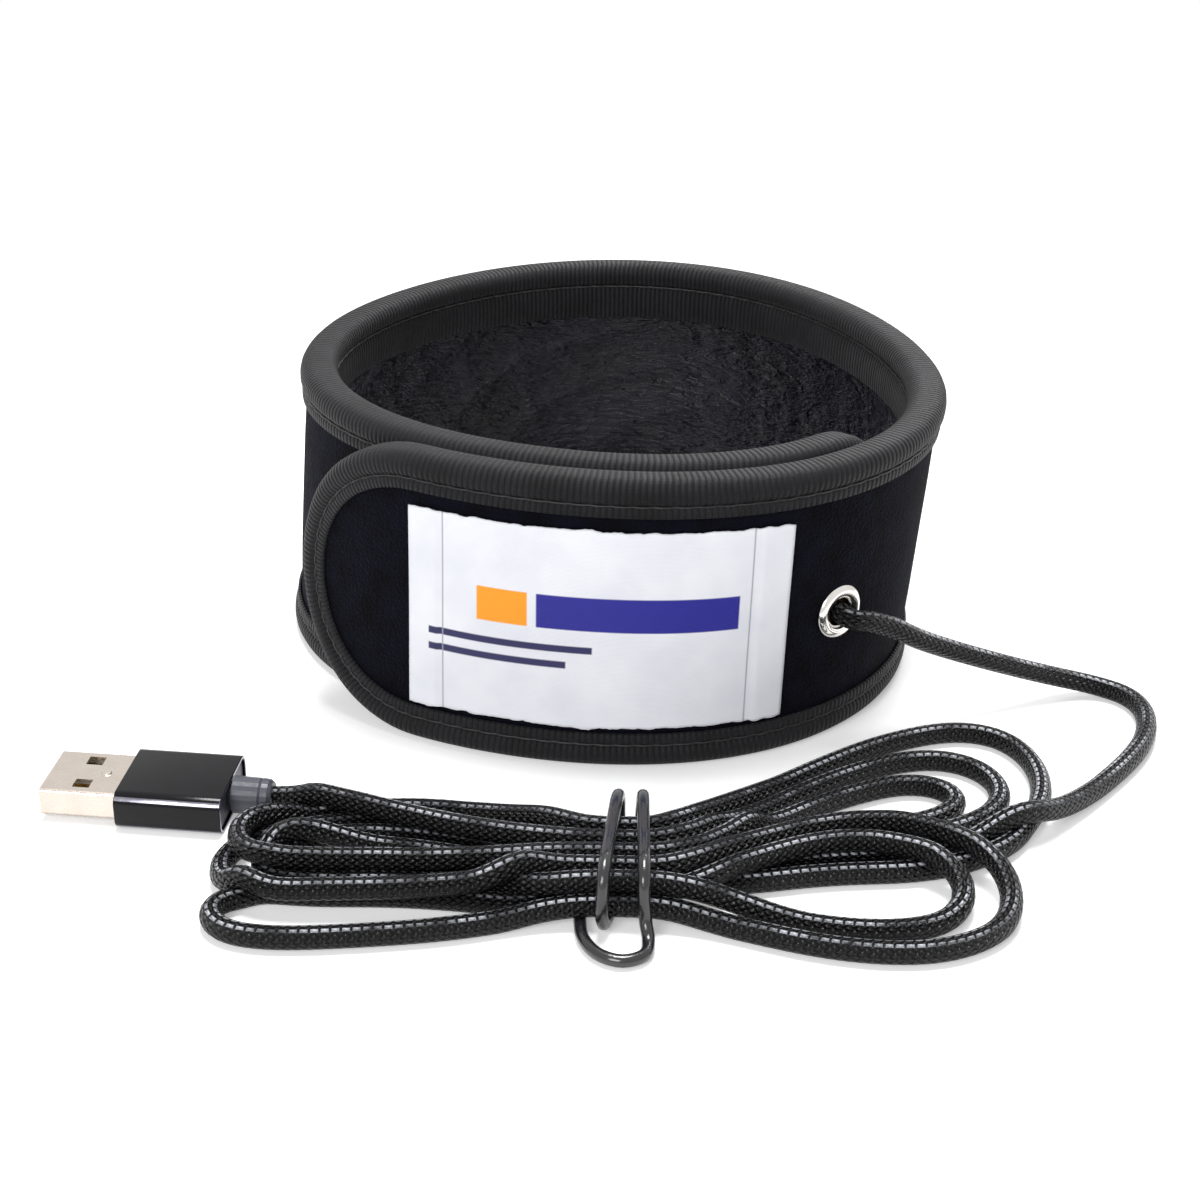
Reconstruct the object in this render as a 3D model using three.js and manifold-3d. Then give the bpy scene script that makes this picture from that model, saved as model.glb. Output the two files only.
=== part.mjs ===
// Dew heater strip for a telescope or a camera lens. A flat foam strip with a printed heater in it is
// wound once and a quarter round into a ring, and its outer end holds on the turn below by hooks in
// its loop-pile cover. A braided cord leaves through an eyelet, lies in a tied hank and ends in a USB
// plug. Millimetres, +Z up, the ring stands on z = 0 and the viewer is at -Y.

import * as THREE from "three";
import { mergeVertices } from "three/addons/utils/BufferGeometryUtils.js";
import Module from "manifold-3d";

const wasm = await Module();
wasm.setup();

// Driving dimensions: the strip as it was cut
const stripLength = 434;
const stripHeight = 50;
const innerCornerRadius = 12;   // at the end that lies inside the ring
const clearance = 0.2;          // between layers that touch on the real strip
const foamThickness = 1.9;
const coverThickness = 0.95;
const heaterThickness = 0.15;
const filmThickness = 0.15;
const liningThickness = 0.25;
const crinkleDepth = 0.9;       // how far the lining's folds stand into the ring
const crinklePitch = 17;

// Driving dimensions: the tape folded over the strip's whole edge
const tapeThickness = 0.5;
const edgeWall = 1.0;
const beadRise = 0.4;           // the bead stands this much proud of the flat lip
const beadDepth = 4.1;          // from the edge to the stitched groove
const bindingDepth = 6.2;       // from the edge to where the lip stops
const stitchDip = 0.22;
const footHalfWidth = 1.2;      // the flat that the ring stands on

// Driving dimensions: how the strip is wound
const innerEndRadius = 47.7;    // of the strip's middle surface at its inner end
const innerEndAngle = -33;      // degrees from +X, front right
const turnGap = 0.6;            // between the bindings of two turns
const ovalRise = 0.8;
const lobeRise = 1.55;
const bulgeAngle = -45;         // degrees from +X, where the ring bulges most
const wallLean = 3.4;           // the right wall stands out and the left wall in, from foot to top

// Driving dimensions: what is on the strip, as distances from the round outer end
const labelFromEnd = 24.5;
const labelLength = 59.5;
const labelBottom = 7.2;
const labelHeight = 34.3;
const labelThickness = 0.3;
const labelFold = 5;            // width of the hem folded under at each end
const hookFromEnd = 20;
const hookLength = 60;
const hookMargin = 2;           // between the hook patch and the binding's lip
const hookGap = 0.6;            // room for the loop pile that the hooks hold
const eyeletFromEnd = 94.5;
const eyeletHeight = 23;
const eyeletBoreRadius = 2.3;
const eyeletWall = 0.4;
const eyeletFlangeRadius = 3.6;
const eyeletFlangeThickness = 0.5;
const washerThickness = 0.35;
const pocketHalfLength = 11;    // the foam's pocket behind the eyelet
const pocketHalfHeight = 6;
const traceWidth = 1.6;
const traceInset = 12;          // from the strip's edges to the outer runs of the trace
const traceTurn = 4;            // how much further in the trace turns at the strip's two ends
const padLength = 3;
const padHeight = 2.4;
const padRise = 3;              // from the eyelet's height up or down to the middle of each pad
const padThickness = 0.2;
const wireRadius = 0.4;

// Driving dimensions: cord, tie and plug
const cordRadius = 1.7;
const cordSides = 8;
const jointGap = 0.3;           // between cord pieces that meet face to face
const hankHeight = 9;
const tieRadius = 0.95;
const shellWidth = 12;
const shellHeight = 4.5;
const shellWall = 0.3;
const shellReach = 12;          // out of the sleeve
const shellSeat = 4.5;          // inside the sleeve
const sleeveLength = 16.4;
const sleeveWidth = 15.4;
const sleeveHeight = 6.2;
const sleeveWall = 0.55;
const windowLength = 2.6;       // the two square windows in each broad side of the shell
const windowWidth = 2.3;
const windowSpacing = 6.6;
const tongueHeight = 1.9;
const contactPitch = 2.33;
const contactWidth = 1;
const contactHeight = 0.2;
const neckRadius = 2.9;
const neckLength = 6.2;
const plugPlace = new THREE.Vector3(-64.9, -71.2, sleeveHeight / 2);
const plugYaw = THREE.MathUtils.degToRad(-5);

// The strip's layers, as offsets from its middle surface, outwards positive
const foam = { inner: -foamThickness / 2, outer: foamThickness / 2 };
const cover = { inner: foam.outer + clearance, outer: foam.outer + clearance + coverThickness };
const heater = { outer: foam.inner - clearance, inner: foam.inner - clearance - heaterThickness };
const film = { outer: heater.inner - clearance, inner: heater.inner - clearance - filmThickness };
const lining = { outer: film.inner - clearance, inner: film.inner - clearance - liningThickness };
const slotHalfWidth = Math.max(cover.outer, -lining.inner) + clearance;
const lipHalfWidth = slotHalfWidth + tapeThickness;
const beadHalfWidth = lipHalfWidth + beadRise;
const layerInset = edgeWall + 2 * clearance;
const turnPitch = 2 * beadHalfWidth + turnGap;
const outerEndRadius = stripHeight / 2;
const outerEndStart = stripLength - outerEndRadius;
const eyeletAt = stripLength - eyeletFromEnd;
const pad = { inner: heater.outer + clearance, outer: heater.outer + clearance + padThickness };
const cordInnerEnd = cover.inner - 2 * clearance;

const stationStep = 5.4;        // between the sections of the layers
const bindingStep = 7.8;        // between the sections of the binding

// The wound path in plan: radius by angle, then length along it by a fine running sum
const pathSteps = 1600;
const pathTurns = 1.6;
const pathTable = makePathTable();
let ringShift = new THREE.Vector3();

function pathRadius(turn) {
  const angle = THREE.MathUtils.degToRad(innerEndAngle) - turn;
  const fromBulge = angle - THREE.MathUtils.degToRad(bulgeAngle);
  return innerEndRadius + turnPitch * turn / (2 * Math.PI)
    + ovalRise * Math.cos(2 * fromBulge) + lobeRise * Math.cos(3 * fromBulge);
}

function pathPoint(turn) {
  const angle = THREE.MathUtils.degToRad(innerEndAngle) - turn;
  const radius = pathRadius(turn);
  return new THREE.Vector2(radius * Math.cos(angle), radius * Math.sin(angle));
}

function makePathTable() {
  const table = [{ turn: 0, length: 0 }];
  for (let i = 1; i <= pathSteps; i++) {
    const turn = 2 * Math.PI * pathTurns * i / pathSteps;
    const last = table[i - 1];
    table.push({ turn, length: last.length + pathPoint(last.turn).distanceTo(pathPoint(turn)) });
  }
  return table;
}

function turnAt(s) {
  let low = 0;
  let high = pathTable.length - 1;
  while (high - low > 1) {
    const middle = (low + high) >> 1;
    if (pathTable[middle].length > s) high = middle;
    else low = middle;
  }
  const a = pathTable[low];
  const b = pathTable[high];
  return a.turn + (b.turn - a.turn) * (s - a.length) / (b.length - a.length);
}

function outwardAt(s) {
  const turn = turnAt(s);
  const step = 0.002;
  const along = pathPoint(turn + step).sub(pathPoint(turn - step)).normalize();
  return new THREE.Vector3(-along.y, along.x, 0);
}

// A point of the wound strip: s along it from the inner end, z up, offset out of its middle surface
function place(s, z, offset) {
  const centre = pathPoint(turnAt(s));
  const outward = outwardAt(s);
  const reach = offset + wallLean * (z / stripHeight - 0.5) * outward.x;
  return new THREE.Vector3(centre.x + outward.x * reach, centre.y + outward.y * reach, z).sub(ringShift);
}

// A closed mesh from points and triangles, turned to face out
function closedGeometry(points, triangles) {
  let volume = 0;
  for (const [a, b, c] of triangles) {
    volume += points[a].dot(new THREE.Vector3().crossVectors(points[b], points[c]));
  }
  const index = triangles.flatMap(([a, b, c]) => (volume > 0 ? [a, b, c] : [a, c, b]));
  const geometry = new THREE.BufferGeometry();
  geometry.setAttribute("position", new THREE.Float32BufferAttribute(points.flatMap((p) => p.toArray()), 3));
  geometry.setIndex(index);
  geometry.computeVertexNormals();
  return geometry;
}

// Two triangles for each cell of a grid of rows, which may close on itself either way. Columns from
// crossFrom on are split along their other diagonal
function gridTriangles(rows, columns, closeRows, closeColumns, crossFrom = columns) {
  const triangles = [];
  for (let i = 0; i < rows - (closeRows ? 0 : 1); i++) {
    for (let j = 0; j < columns - (closeColumns ? 0 : 1); j++) {
      const i2 = (i + 1) % rows;
      const j2 = (j + 1) % columns;
      const a = i * columns + j;
      const b = i * columns + j2;
      const c = i2 * columns + j2;
      const d = i2 * columns + j;
      if (j < crossFrom) triangles.push([a, b, c], [a, c, d]);
      else triangles.push([a, b, d], [b, c, d]);
    }
  }
  return triangles;
}

function spread(from, to, step) {
  const count = Math.max(1, Math.ceil((to - from) / step));
  return Array.from({ length: count + 1 }, (_, i) => from + (to - from) * i / count);
}

// A slab that follows the strip: its section at each station is a closed loop of points, made by
// going up the outer face and down the inner one through the heights given for that station
function slab(stations, heights, innerOffset, outerOffset) {
  const points = [];
  const rows = heights(stations[0]).length - 1;
  const loop = 2 * (rows + 1);
  for (const s of stations) {
    const levels = heights(s);
    levels.forEach((z) => points.push(place(s, z, outerOffset(s, z))));
    levels.reverse().forEach((z) => points.push(place(s, z, innerOffset(s, z))));
  }
  const triangles = gridTriangles(stations.length, loop, false, true, rows + 1);
  const last = (stations.length - 1) * loop;
  for (let i = 0; i < rows; i++) {
    const outer = i;
    const inner = loop - 1 - i;
    triangles.push([outer, inner, inner - 1], [outer, inner - 1, outer + 1]);
    triangles.push([last + outer, last + inner - 1, last + inner]);
    triangles.push([last + outer, last + outer + 1, last + inner - 1]);
  }
  return closedGeometry(points, triangles);
}

// Stations and heights of a layer that has the strip's own outline, less an inset
function layerStations(inset) {
  const corner = innerCornerRadius - inset;
  const end = outerEndRadius - inset;
  const degrees = THREE.MathUtils.degToRad;
  const start = [6, 30, 60].map((a) => innerCornerRadius - corner * Math.cos(degrees(a)));
  const round = [15, 30, 43, 55, 66, 76, 85].map((a) => outerEndStart + end * Math.sin(degrees(a)));
  return [...start, ...spread(innerCornerRadius, outerEndStart, stationStep), ...round];
}

function layerHeights(inset) {
  const corner = innerCornerRadius - inset;
  const end = outerEndRadius - inset;
  return (s) => {
    if (s < innerCornerRadius) {
      const rise = Math.sqrt(corner ** 2 - (innerCornerRadius - s) ** 2);
      return [innerCornerRadius - rise, stripHeight - innerCornerRadius + rise];
    }
    const rise = s > outerEndStart ? Math.sqrt(end ** 2 - (s - outerEndStart) ** 2) : end;
    return [stripHeight / 2 - rise, stripHeight / 2 + rise];
  };
}

function layer(inset, { inner, outer }) {
  return slab(layerStations(inset), layerHeights(inset), () => inner, () => outer);
}

// Solids with cuts and joins
function toSolid(geometry) {
  const bare = geometry.clone();
  bare.deleteAttribute("normal");
  bare.deleteAttribute("uv");
  const merged = mergeVertices(bare, 1e-4);
  return new wasm.Manifold(new wasm.Mesh({
    numProp: 3,
    vertProperties: Float32Array.from(merged.attributes.position.array),
    triVerts: Uint32Array.from(merged.index.array),
  }));
}

function toGeometry(solid) {
  const mesh = solid.getMesh();
  const geometry = new THREE.BufferGeometry();
  geometry.setAttribute("position", new THREE.Float32BufferAttribute(mesh.vertProperties, 3));
  geometry.setIndex(new THREE.Uint32BufferAttribute(mesh.triVerts, 1));
  geometry.computeVertexNormals();
  return geometry;
}

function cut(geometry, ...tools) {
  return toGeometry(tools.reduce((solid, tool) => solid.subtract(toSolid(tool)), toSolid(geometry)));
}

function join(geometry, ...others) {
  return toGeometry(others.reduce((solid, other) => solid.add(toSolid(other)), toSolid(geometry)));
}

function box(x0, x1, y0, y1, z0, z1) {
  const geometry = new THREE.BoxGeometry(x1 - x0, y1 - y0, z1 - z0);
  return geometry.translate((x0 + x1) / 2, (y0 + y1) / 2, (z0 + z1) / 2);
}

// A solid of revolution about +X, from a closed profile of [x, radius] points
function turned(profile, segments = 24) {
  const geometry = new THREE.LatheGeometry(profile.map(([x, r]) => new THREE.Vector2(r, x)), segments);
  return geometry.rotateZ(-Math.PI / 2);
}

function roundedRect(width, height, radius) {
  const x = width / 2;
  const y = height / 2;
  const shape = new THREE.Shape();
  shape.moveTo(-x + radius, -y);
  shape.lineTo(x - radius, -y);
  shape.absarc(x - radius, -y + radius, radius, -Math.PI / 2, 0);
  shape.absarc(x - radius, y - radius, radius, 0, Math.PI / 2);
  shape.absarc(-x + radius, y - radius, radius, Math.PI / 2, Math.PI);
  shape.absarc(-x + radius, -y + radius, radius, Math.PI, 1.5 * Math.PI);
  return shape;
}

// A shape drawn in Y and Z, pulled along X
function alongX(shape, from, to, curveSegments = 5) {
  const geometry = new THREE.ExtrudeGeometry(shape, { depth: to - from, bevelEnabled: false, curveSegments });
  const turn = new THREE.Matrix4().makeBasis(
    new THREE.Vector3(0, 1, 0), new THREE.Vector3(0, 0, 1), new THREE.Vector3(1, 0, 0));
  return geometry.applyMatrix4(turn).translate(from, 0, 0);
}

function tube(points, radius, steps, sides = cordSides) {
  const section = new THREE.Shape(Array.from({ length: sides }, (_, i) => {
    const angle = 2 * Math.PI * i / sides;
    return new THREE.Vector2(radius * Math.cos(angle), radius * Math.sin(angle));
  }));
  const path = new THREE.CatmullRomCurve3(points, false, "centripetal");
  return new THREE.ExtrudeGeometry(section, { steps, extrudePath: path, bevelEnabled: false });
}

// The binding: one tape folded over the edge all round, thick at the bead and flat at the lip
function bindingPath() {
  const path = [];
  const radians = THREE.MathUtils.degToRad;
  const arc = (s, z, radius, from, to, steps) => {
    for (let i = 0; i <= steps; i++) {
      const a = radians(from + (to - from) * i / steps);
      const inward = [-Math.cos(a), -Math.sin(a)];
      path.push({ s: s - radius * inward[0], z: z - radius * inward[1], inward });
    }
  };
  const straight = spread(innerCornerRadius, outerEndStart, bindingStep).slice(1, -1);
  const corner = innerCornerRadius;
  straight.forEach((s) => path.push({ s, z: 0, inward: [0, 1] }));
  arc(outerEndStart, outerEndRadius, outerEndRadius, -90, 90, 16);
  straight.reverse().forEach((s) => path.push({ s, z: stripHeight, inward: [0, -1] }));
  arc(corner, stripHeight - corner, corner, 90, 180, 3);
  arc(corner, corner, corner, 180, 270, 3);
  return path;
}

function bindingSection() {
  const side = [
    [bindingDepth, slotHalfWidth],
    [bindingDepth, lipHalfWidth],
    [beadDepth + 0.45, lipHalfWidth],
    [beadDepth, lipHalfWidth - stitchDip],
    [beadDepth * 0.75, beadHalfWidth],
    [beadDepth * 0.28, beadHalfWidth * 0.94],
    [beadDepth * 0.05, beadHalfWidth * 0.62],
    [0, footHalfWidth],
  ];
  const slot = [[edgeWall, -slotHalfWidth], [edgeWall, slotHalfWidth]];
  return [...side, ...side.map(([depth, out]) => [depth, -out]).reverse(), ...slot];
}

function bindingGeometry() {
  const path = bindingPath();
  const section = bindingSection();
  const points = path.flatMap(({ s, z, inward }) => section.map(
    ([depth, out]) => place(s + inward[0] * depth, z + inward[1] * depth, out)));
  return closedGeometry(points, gridTriangles(path.length, section.length, true, true));
}

// The ring is moved so that the middle of its footprint is the origin
const looseBox = new THREE.Box3().setFromBufferAttribute(bindingGeometry().attributes.position);
ringShift = looseBox.getCenter(new THREE.Vector3()).setZ(0);

// A frame on the strip's outer face, x out of the face and z up, for what passes through it
function faceFrame(s, z) {
  const out = outwardAt(s);
  const up = new THREE.Vector3(0, 0, 1);
  const frame = new THREE.Matrix4().makeBasis(out, new THREE.Vector3().crossVectors(up, out), up);
  return frame.setPosition(place(s, z, 0));
}

const eyeletFrame = faceFrame(eyeletAt, eyeletHeight);
const barrelRadius = eyeletBoreRadius + eyeletWall;
const flangeSag = eyeletFlangeRadius ** 2 / (2 * innerEndRadius);
const washerTop = cover.inner - clearance - flangeSag;
const washerBottom = washerTop - washerThickness;

// The pocket in the foam behind the eyelet, where the cord's cores are soldered to the heater
function pocketTool() {
  const stations = spread(eyeletAt - pocketHalfLength, eyeletAt + pocketHalfLength, 4);
  const heights = () => [eyeletHeight - pocketHalfHeight, eyeletHeight + pocketHalfHeight];
  return slab(stations, heights, () => foam.inner - 1, () => foam.outer + 1);
}

function coverGeometry() {
  const reach = coverThickness + 2;
  const middle = (cover.inner + cover.outer) / 2;
  const radius = barrelRadius + clearance;
  const drill = turned([
    [middle - reach, 0], [middle - reach, radius], [middle + reach, radius], [middle + reach, 0],
  ]);
  return cut(layer(layerInset, cover), drill.applyMatrix4(eyeletFrame));
}

function eyeletGeometry() {
  const face = cover.outer + clearance;
  const rim = face + eyeletFlangeThickness;
  const tail = washerBottom - clearance;
  const profile = [
    [tail, eyeletBoreRadius],
    [tail, barrelRadius],
    [face, barrelRadius],
    [face, eyeletFlangeRadius - 0.1],
    [face + 0.2, eyeletFlangeRadius],
    [rim, eyeletFlangeRadius - 0.5],
    [rim, eyeletBoreRadius + 0.35],
    [rim - 0.15, eyeletBoreRadius],
    [tail, eyeletBoreRadius],
  ];
  return turned(profile).applyMatrix4(eyeletFrame);
}

function washerGeometry() {
  const bore = barrelRadius + 0.1;
  const outer = eyeletFlangeRadius;
  const profile = [
    [washerBottom, bore], [washerBottom, outer], [washerTop, outer], [washerTop, bore], [washerBottom, bore],
  ];
  return turned(profile).applyMatrix4(eyeletFrame);
}

// The lining's creases fade out at the binding and where the strip lies on its own inner turn
function liningCrease(s, z) {
  const [low, high] = layerHeights(0)(s);
  const fromEdge = Math.min(z - low, high - z) - bindingDepth;
  const fromOverlap = stripLength - eyeletFromEnd - 15 - s;
  const fade = THREE.MathUtils.smoothstep(fromEdge, 0, 5) * THREE.MathUtils.smoothstep(fromOverlap, 0, 20)
    * THREE.MathUtils.smoothstep(s, innerCornerRadius, innerCornerRadius + 15);
  const short = Math.sin(2 * Math.PI * (s + 0.35 * z) / crinklePitch);
  const long = Math.sin(2 * Math.PI * (s - 0.9 * z) / (2.3 * crinklePitch));
  return crinkleDepth * fade * (0.5 + 0.25 * (short + long));
}

function liningGeometry() {
  const levels = (s) => {
    const [low, high] = layerHeights(layerInset)(s);
    const margin = Math.min(bindingDepth, (high - low) / 3);
    const clear = high - low - 2 * margin;
    const middle = [0, 0.2, 0.4, 0.6, 0.8, 1].map((share) => low + margin + share * clear);
    return [low, ...middle, high];
  };
  return slab(layerStations(layerInset), levels,
    (s, z) => lining.inner - liningCrease(s, z), (s, z) => lining.outer - liningCrease(s, z));
}

// The heater trace runs to the outer end, back to the inner end and out again, between its two pads
function traceGeometry() {
  const farEnd = outerEndStart - traceTurn;
  const nearEnd = traceInset + traceTurn;
  const start = eyeletAt + padLength;
  const top = stripHeight - traceInset;
  const bottom = traceInset;
  const upper = eyeletHeight + padRise;
  const lower = eyeletHeight - padRise;
  const corners = [
    [start, upper], [farEnd, upper], [farEnd, top], [nearEnd, top],
    [nearEnd, bottom], [farEnd, bottom], [farEnd, lower], [start, lower],
  ].map(([s, z]) => new THREE.Vector2(s, z));
  const centre = [];
  corners.forEach((corner, i) => {
    const next = corners[i + 1] ?? corner;
    const count = Math.max(1, Math.ceil(corner.distanceTo(next) / stationStep));
    for (let k = 0; k < (next === corner ? 1 : count); k++) {
      centre.push(corner.clone().lerp(next, k / count));
    }
  });
  const points = centre.flatMap((point, i) => {
    const before = point.clone().sub(centre[Math.max(i - 1, 0)]).normalize();
    const after = centre[Math.min(i + 1, centre.length - 1)].clone().sub(point).normalize();
    const along = before.add(after).normalize();
    const across = new THREE.Vector2(-along.y, along.x);
    const bend = Math.max(Math.abs(along.x), Math.abs(along.y));
    const half = traceWidth / 2 / bend;
    const left = point.clone().addScaledVector(across, half);
    const right = point.clone().addScaledVector(across, -half);
    return [
      place(left.x, left.y, heater.outer), place(right.x, right.y, heater.outer),
      place(right.x, right.y, heater.inner), place(left.x, left.y, heater.inner),
    ];
  });
  const triangles = gridTriangles(centre.length, 4, false, true);
  const last = 4 * (centre.length - 1);
  triangles.push([0, 2, 1], [0, 3, 2], [last, last + 1, last + 2], [last, last + 2, last + 3]);
  return closedGeometry(points, triangles);
}

function padGeometry(side) {
  const start = eyeletAt + padLength;
  const z = eyeletHeight + padRise * side;
  const heights = () => [z - padHeight / 2, z + padHeight / 2];
  return slab(spread(start, start + padLength, padLength / 2), heights, () => pad.inner, () => pad.outer);
}

function wireGeometry(side) {
  const rest = pad.outer + clearance + wireRadius;
  const start = cordInnerEnd - jointGap;
  const points = [
    place(eyeletAt, eyeletHeight + 0.75 * side, start),
    place(eyeletAt + 0.9, eyeletHeight + 1.0 * side, rest + 0.15),
    place(eyeletAt + padLength, eyeletHeight + 2 * padRise / 3 * side, rest),
    place(eyeletAt + 2 * padLength, eyeletHeight + padRise * side, rest),
  ];
  return tube(points, wireRadius, 7, 6);
}

// The label is a woven tape with its two ends folded under
function labelGeometry() {
  const end = stripLength - labelFromEnd;
  const start = end - labelLength;
  const ramp = 0.4;
  const base = cover.outer + clearance;
  const stations = [
    start, start + labelFold, ...spread(start + labelFold + ramp, end - labelFold - ramp, 5.5),
    end - labelFold, end,
  ];
  const folded = (s) => s <= start + labelFold + 1e-6 || s >= end - labelFold - 1e-6;
  return slab(stations, () => [labelBottom, labelBottom + labelHeight], () => base,
    (s) => base + labelThickness + (folded(s) ? labelThickness : 0));
}

function hookGeometry() {
  const end = stripLength - hookFromEnd;
  const outer = lining.inner - clearance;
  const inner = cover.outer - turnPitch + hookGap;
  const margin = bindingDepth + hookMargin;
  const stations = spread(end - hookLength, end, 6);
  return slab(stations, () => [margin, stripHeight - margin], () => inner, () => outer);
}

// The cord: a stretch from the eyelet to the hank, the hank, and a short stretch to the plug
const leadRoute = [
  place(eyeletAt, eyeletHeight, cordInnerEnd),
  place(eyeletAt, eyeletHeight, cover.outer),
  place(eyeletAt, eyeletHeight - 0.4, cover.outer + 2.6),
  new THREE.Vector3(46.0, -43.6, 20.5),
  new THREE.Vector3(50.0, -41.7, 17.4),
  new THREE.Vector3(56.3, -38.2, 13.6),
  new THREE.Vector3(63.5, -35.4, 10.2),
  new THREE.Vector3(71.0, -32.6, 6.9),
  new THREE.Vector3(78.6, -29.8, 3.8),
  new THREE.Vector3(84.6, -29.0, 2.2),
  new THREE.Vector3(89.2, -31.4, 1.75),
  new THREE.Vector3(91.4, -37.0, 1.75),
  new THREE.Vector3(89.6, -45.9, 1.75),
  new THREE.Vector3(85.8, -52.8, 1.75),
  new THREE.Vector3(79.6, -60.8, 1.9),
  new THREE.Vector3(73.2, -68.1, 2.7),
  new THREE.Vector3(67.8, -73.1, 3.9),
];
const tailRoute = [
  new THREE.Vector3(-50.3, -72.5, 3.1),
  new THREE.Vector3(-47.6, -72.8, 3.3),
  new THREE.Vector3(-44.8, -73.1, 3.7),
];

// The outer shape of the hank's loops in plan, with a waist where the tie holds them
const hankOutline = [
  [-44.5, -70.8], [-30, -70.4], [-15, -70], [-6, -71.8], [-1.5, -76], [0, -80.5], [7.5, -80.5], [11, -75],
  [18, -67.5], [26, -61], [38, -52], [48.6, -46], [56, -42.6], [62, -42], [67, -44.6], [70.3, -50],
  [70.9, -58], [69.3, -65], [65.6, -71.9], [69.2, -75.1], [64.5, -81.5], [61.6, -86], [60.4, -93],
  [56.8, -101], [50, -106], [42, -108.4], [32, -107.6], [23, -104.7], [14, -101.8], [7.5, -100.9],
  [-2.5, -100.9],
  [-8, -102.4], [-15, -104.8], [-27, -107.4], [-40, -108.4], [-50, -108.2], [-54.6, -106.2], [-56.6, -102],
  [-56.8, -93], [-55.4, -88.5], [-56.6, -82], [-54.8, -77.6], [-51, -75.9], [-44.5, -75.6],
];

function hankGeometry() {
  const edge = cordRadius;
  const outline = new THREE.Shape(hankOutline.map(([x, y]) => new THREE.Vector2(x, y)));
  const loops = new THREE.ExtrudeGeometry(outline, {
    depth: hankHeight - 2 * edge,
    bevelThickness: edge,
    bevelSize: edge,
    bevelOffset: -edge,
    bevelSegments: 2,
  }).translate(0, 0, edge);
  const underTie = 2 * tieRadius + 0.6;
  return cut(loops, box(-4.5, 8.5, -120, -60, -1, underTie));
}

// The tie: one coated wire, twice round the waist and once out in front
const tieUnder = tieRadius + 0.15;
const tieOver = hankHeight + tieRadius + 0.4;
const tieRoute = [
  [-2.9, -95.5, tieUnder], [-3, -100.5, tieUnder], [-2.4, -104.6, tieUnder], [-0.2, -108, tieUnder],
  [3, -109.3, tieUnder],
  [6, -107.8, tieUnder], [6.6, -104.8, 1.3], [6.2, -102.8, 3], [5.9, -102.3, 6], [5.8, -101.7, 9],
  [5.8, -99.6, tieOver], [5.8, -91, tieOver], [5.8, -82, tieOver], [5.8, -79.8, 9.2], [5.7, -79.1, 6],
  [5.6, -79.1, 3.2], [5.4, -79.9, 1.6], [5, -82, tieUnder], [4.2, -86, tieUnder], [2, -94, tieUnder],
  [0.7, -99.8, tieUnder], [0.3, -101.6, 1.7], [0, -102.35, 3.6], [0, -102.3, 6], [0.1, -101.7, 9],
  [0.3, -99.6, tieOver], [1.1, -91, tieOver], [2, -82, tieOver], [2.3, -79.8, 9.2], [2.4, -79.1, 6],
  [2.5, -79.1, 3.2], [2.5, -79.9, 1.7], [2.3, -81.8, 1.2], [2.1, -83.2, tieUnder],
].map(([x, y, z]) => new THREE.Vector3(x, y, z));

// The plug, drawn along X with its tip at -X and its sleeve centred on its own origin
const sleeveFront = -sleeveLength / 2;
const sleeveRear = sleeveLength / 2;
const shellTip = sleeveFront - shellReach;
const shellEnd = sleeveFront + shellSeat;

function ring(width, height, wall, radius) {
  const shape = roundedRect(width, height, radius);
  shape.holes.push(roundedRect(width - 2 * wall, height - 2 * wall, Math.max(radius - wall, 0.15)));
  return shape;
}

function shellGeometry() {
  const windowMiddle = sleeveFront - shellReach / 2;
  const body = alongX(ring(shellWidth, shellHeight, shellWall, 0.6), shellTip, shellEnd, 3);
  const windows = [-1, 1].map((side) => box(
    windowMiddle - windowLength / 2, windowMiddle + windowLength / 2,
    (side * windowSpacing - windowWidth) / 2, (side * windowSpacing + windowWidth) / 2,
    -shellHeight, shellHeight));
  const top = shellHeight / 2;
  const bump = turned([[top - 0.2, 0], [top - 0.2, 1], [top + 0.18, 0.7], [top + 0.26, 0]], 12);
  bump.rotateY(-Math.PI / 2).translate(sleeveFront - 3.3, 0, 0);
  return join(cut(body, ...windows), bump);
}

const tongueBottom = -shellHeight / 2 + shellWall + clearance;

function tongueGeometry() {
  const half = shellWidth / 2 - shellWall - clearance;
  return box(shellTip + 0.4, shellEnd - clearance, -half, half, tongueBottom, tongueBottom + tongueHeight);
}

function contactGeometry(index) {
  const outer = Math.abs(index - 1.5) > 1;
  const y = (index - 1.5) * contactPitch;
  const start = shellTip + (outer ? 1.4 : 2.4);
  const bottom = tongueBottom + tongueHeight + 0.1;
  const half = contactWidth / 2;
  return box(start, sleeveFront - 1, y - half, y + half, bottom, bottom + contactHeight);
}

function sleeveGeometry() {
  return alongX(ring(sleeveWidth, sleeveHeight, sleeveWall, 1.9), sleeveFront, sleeveRear, 5);
}

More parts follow.
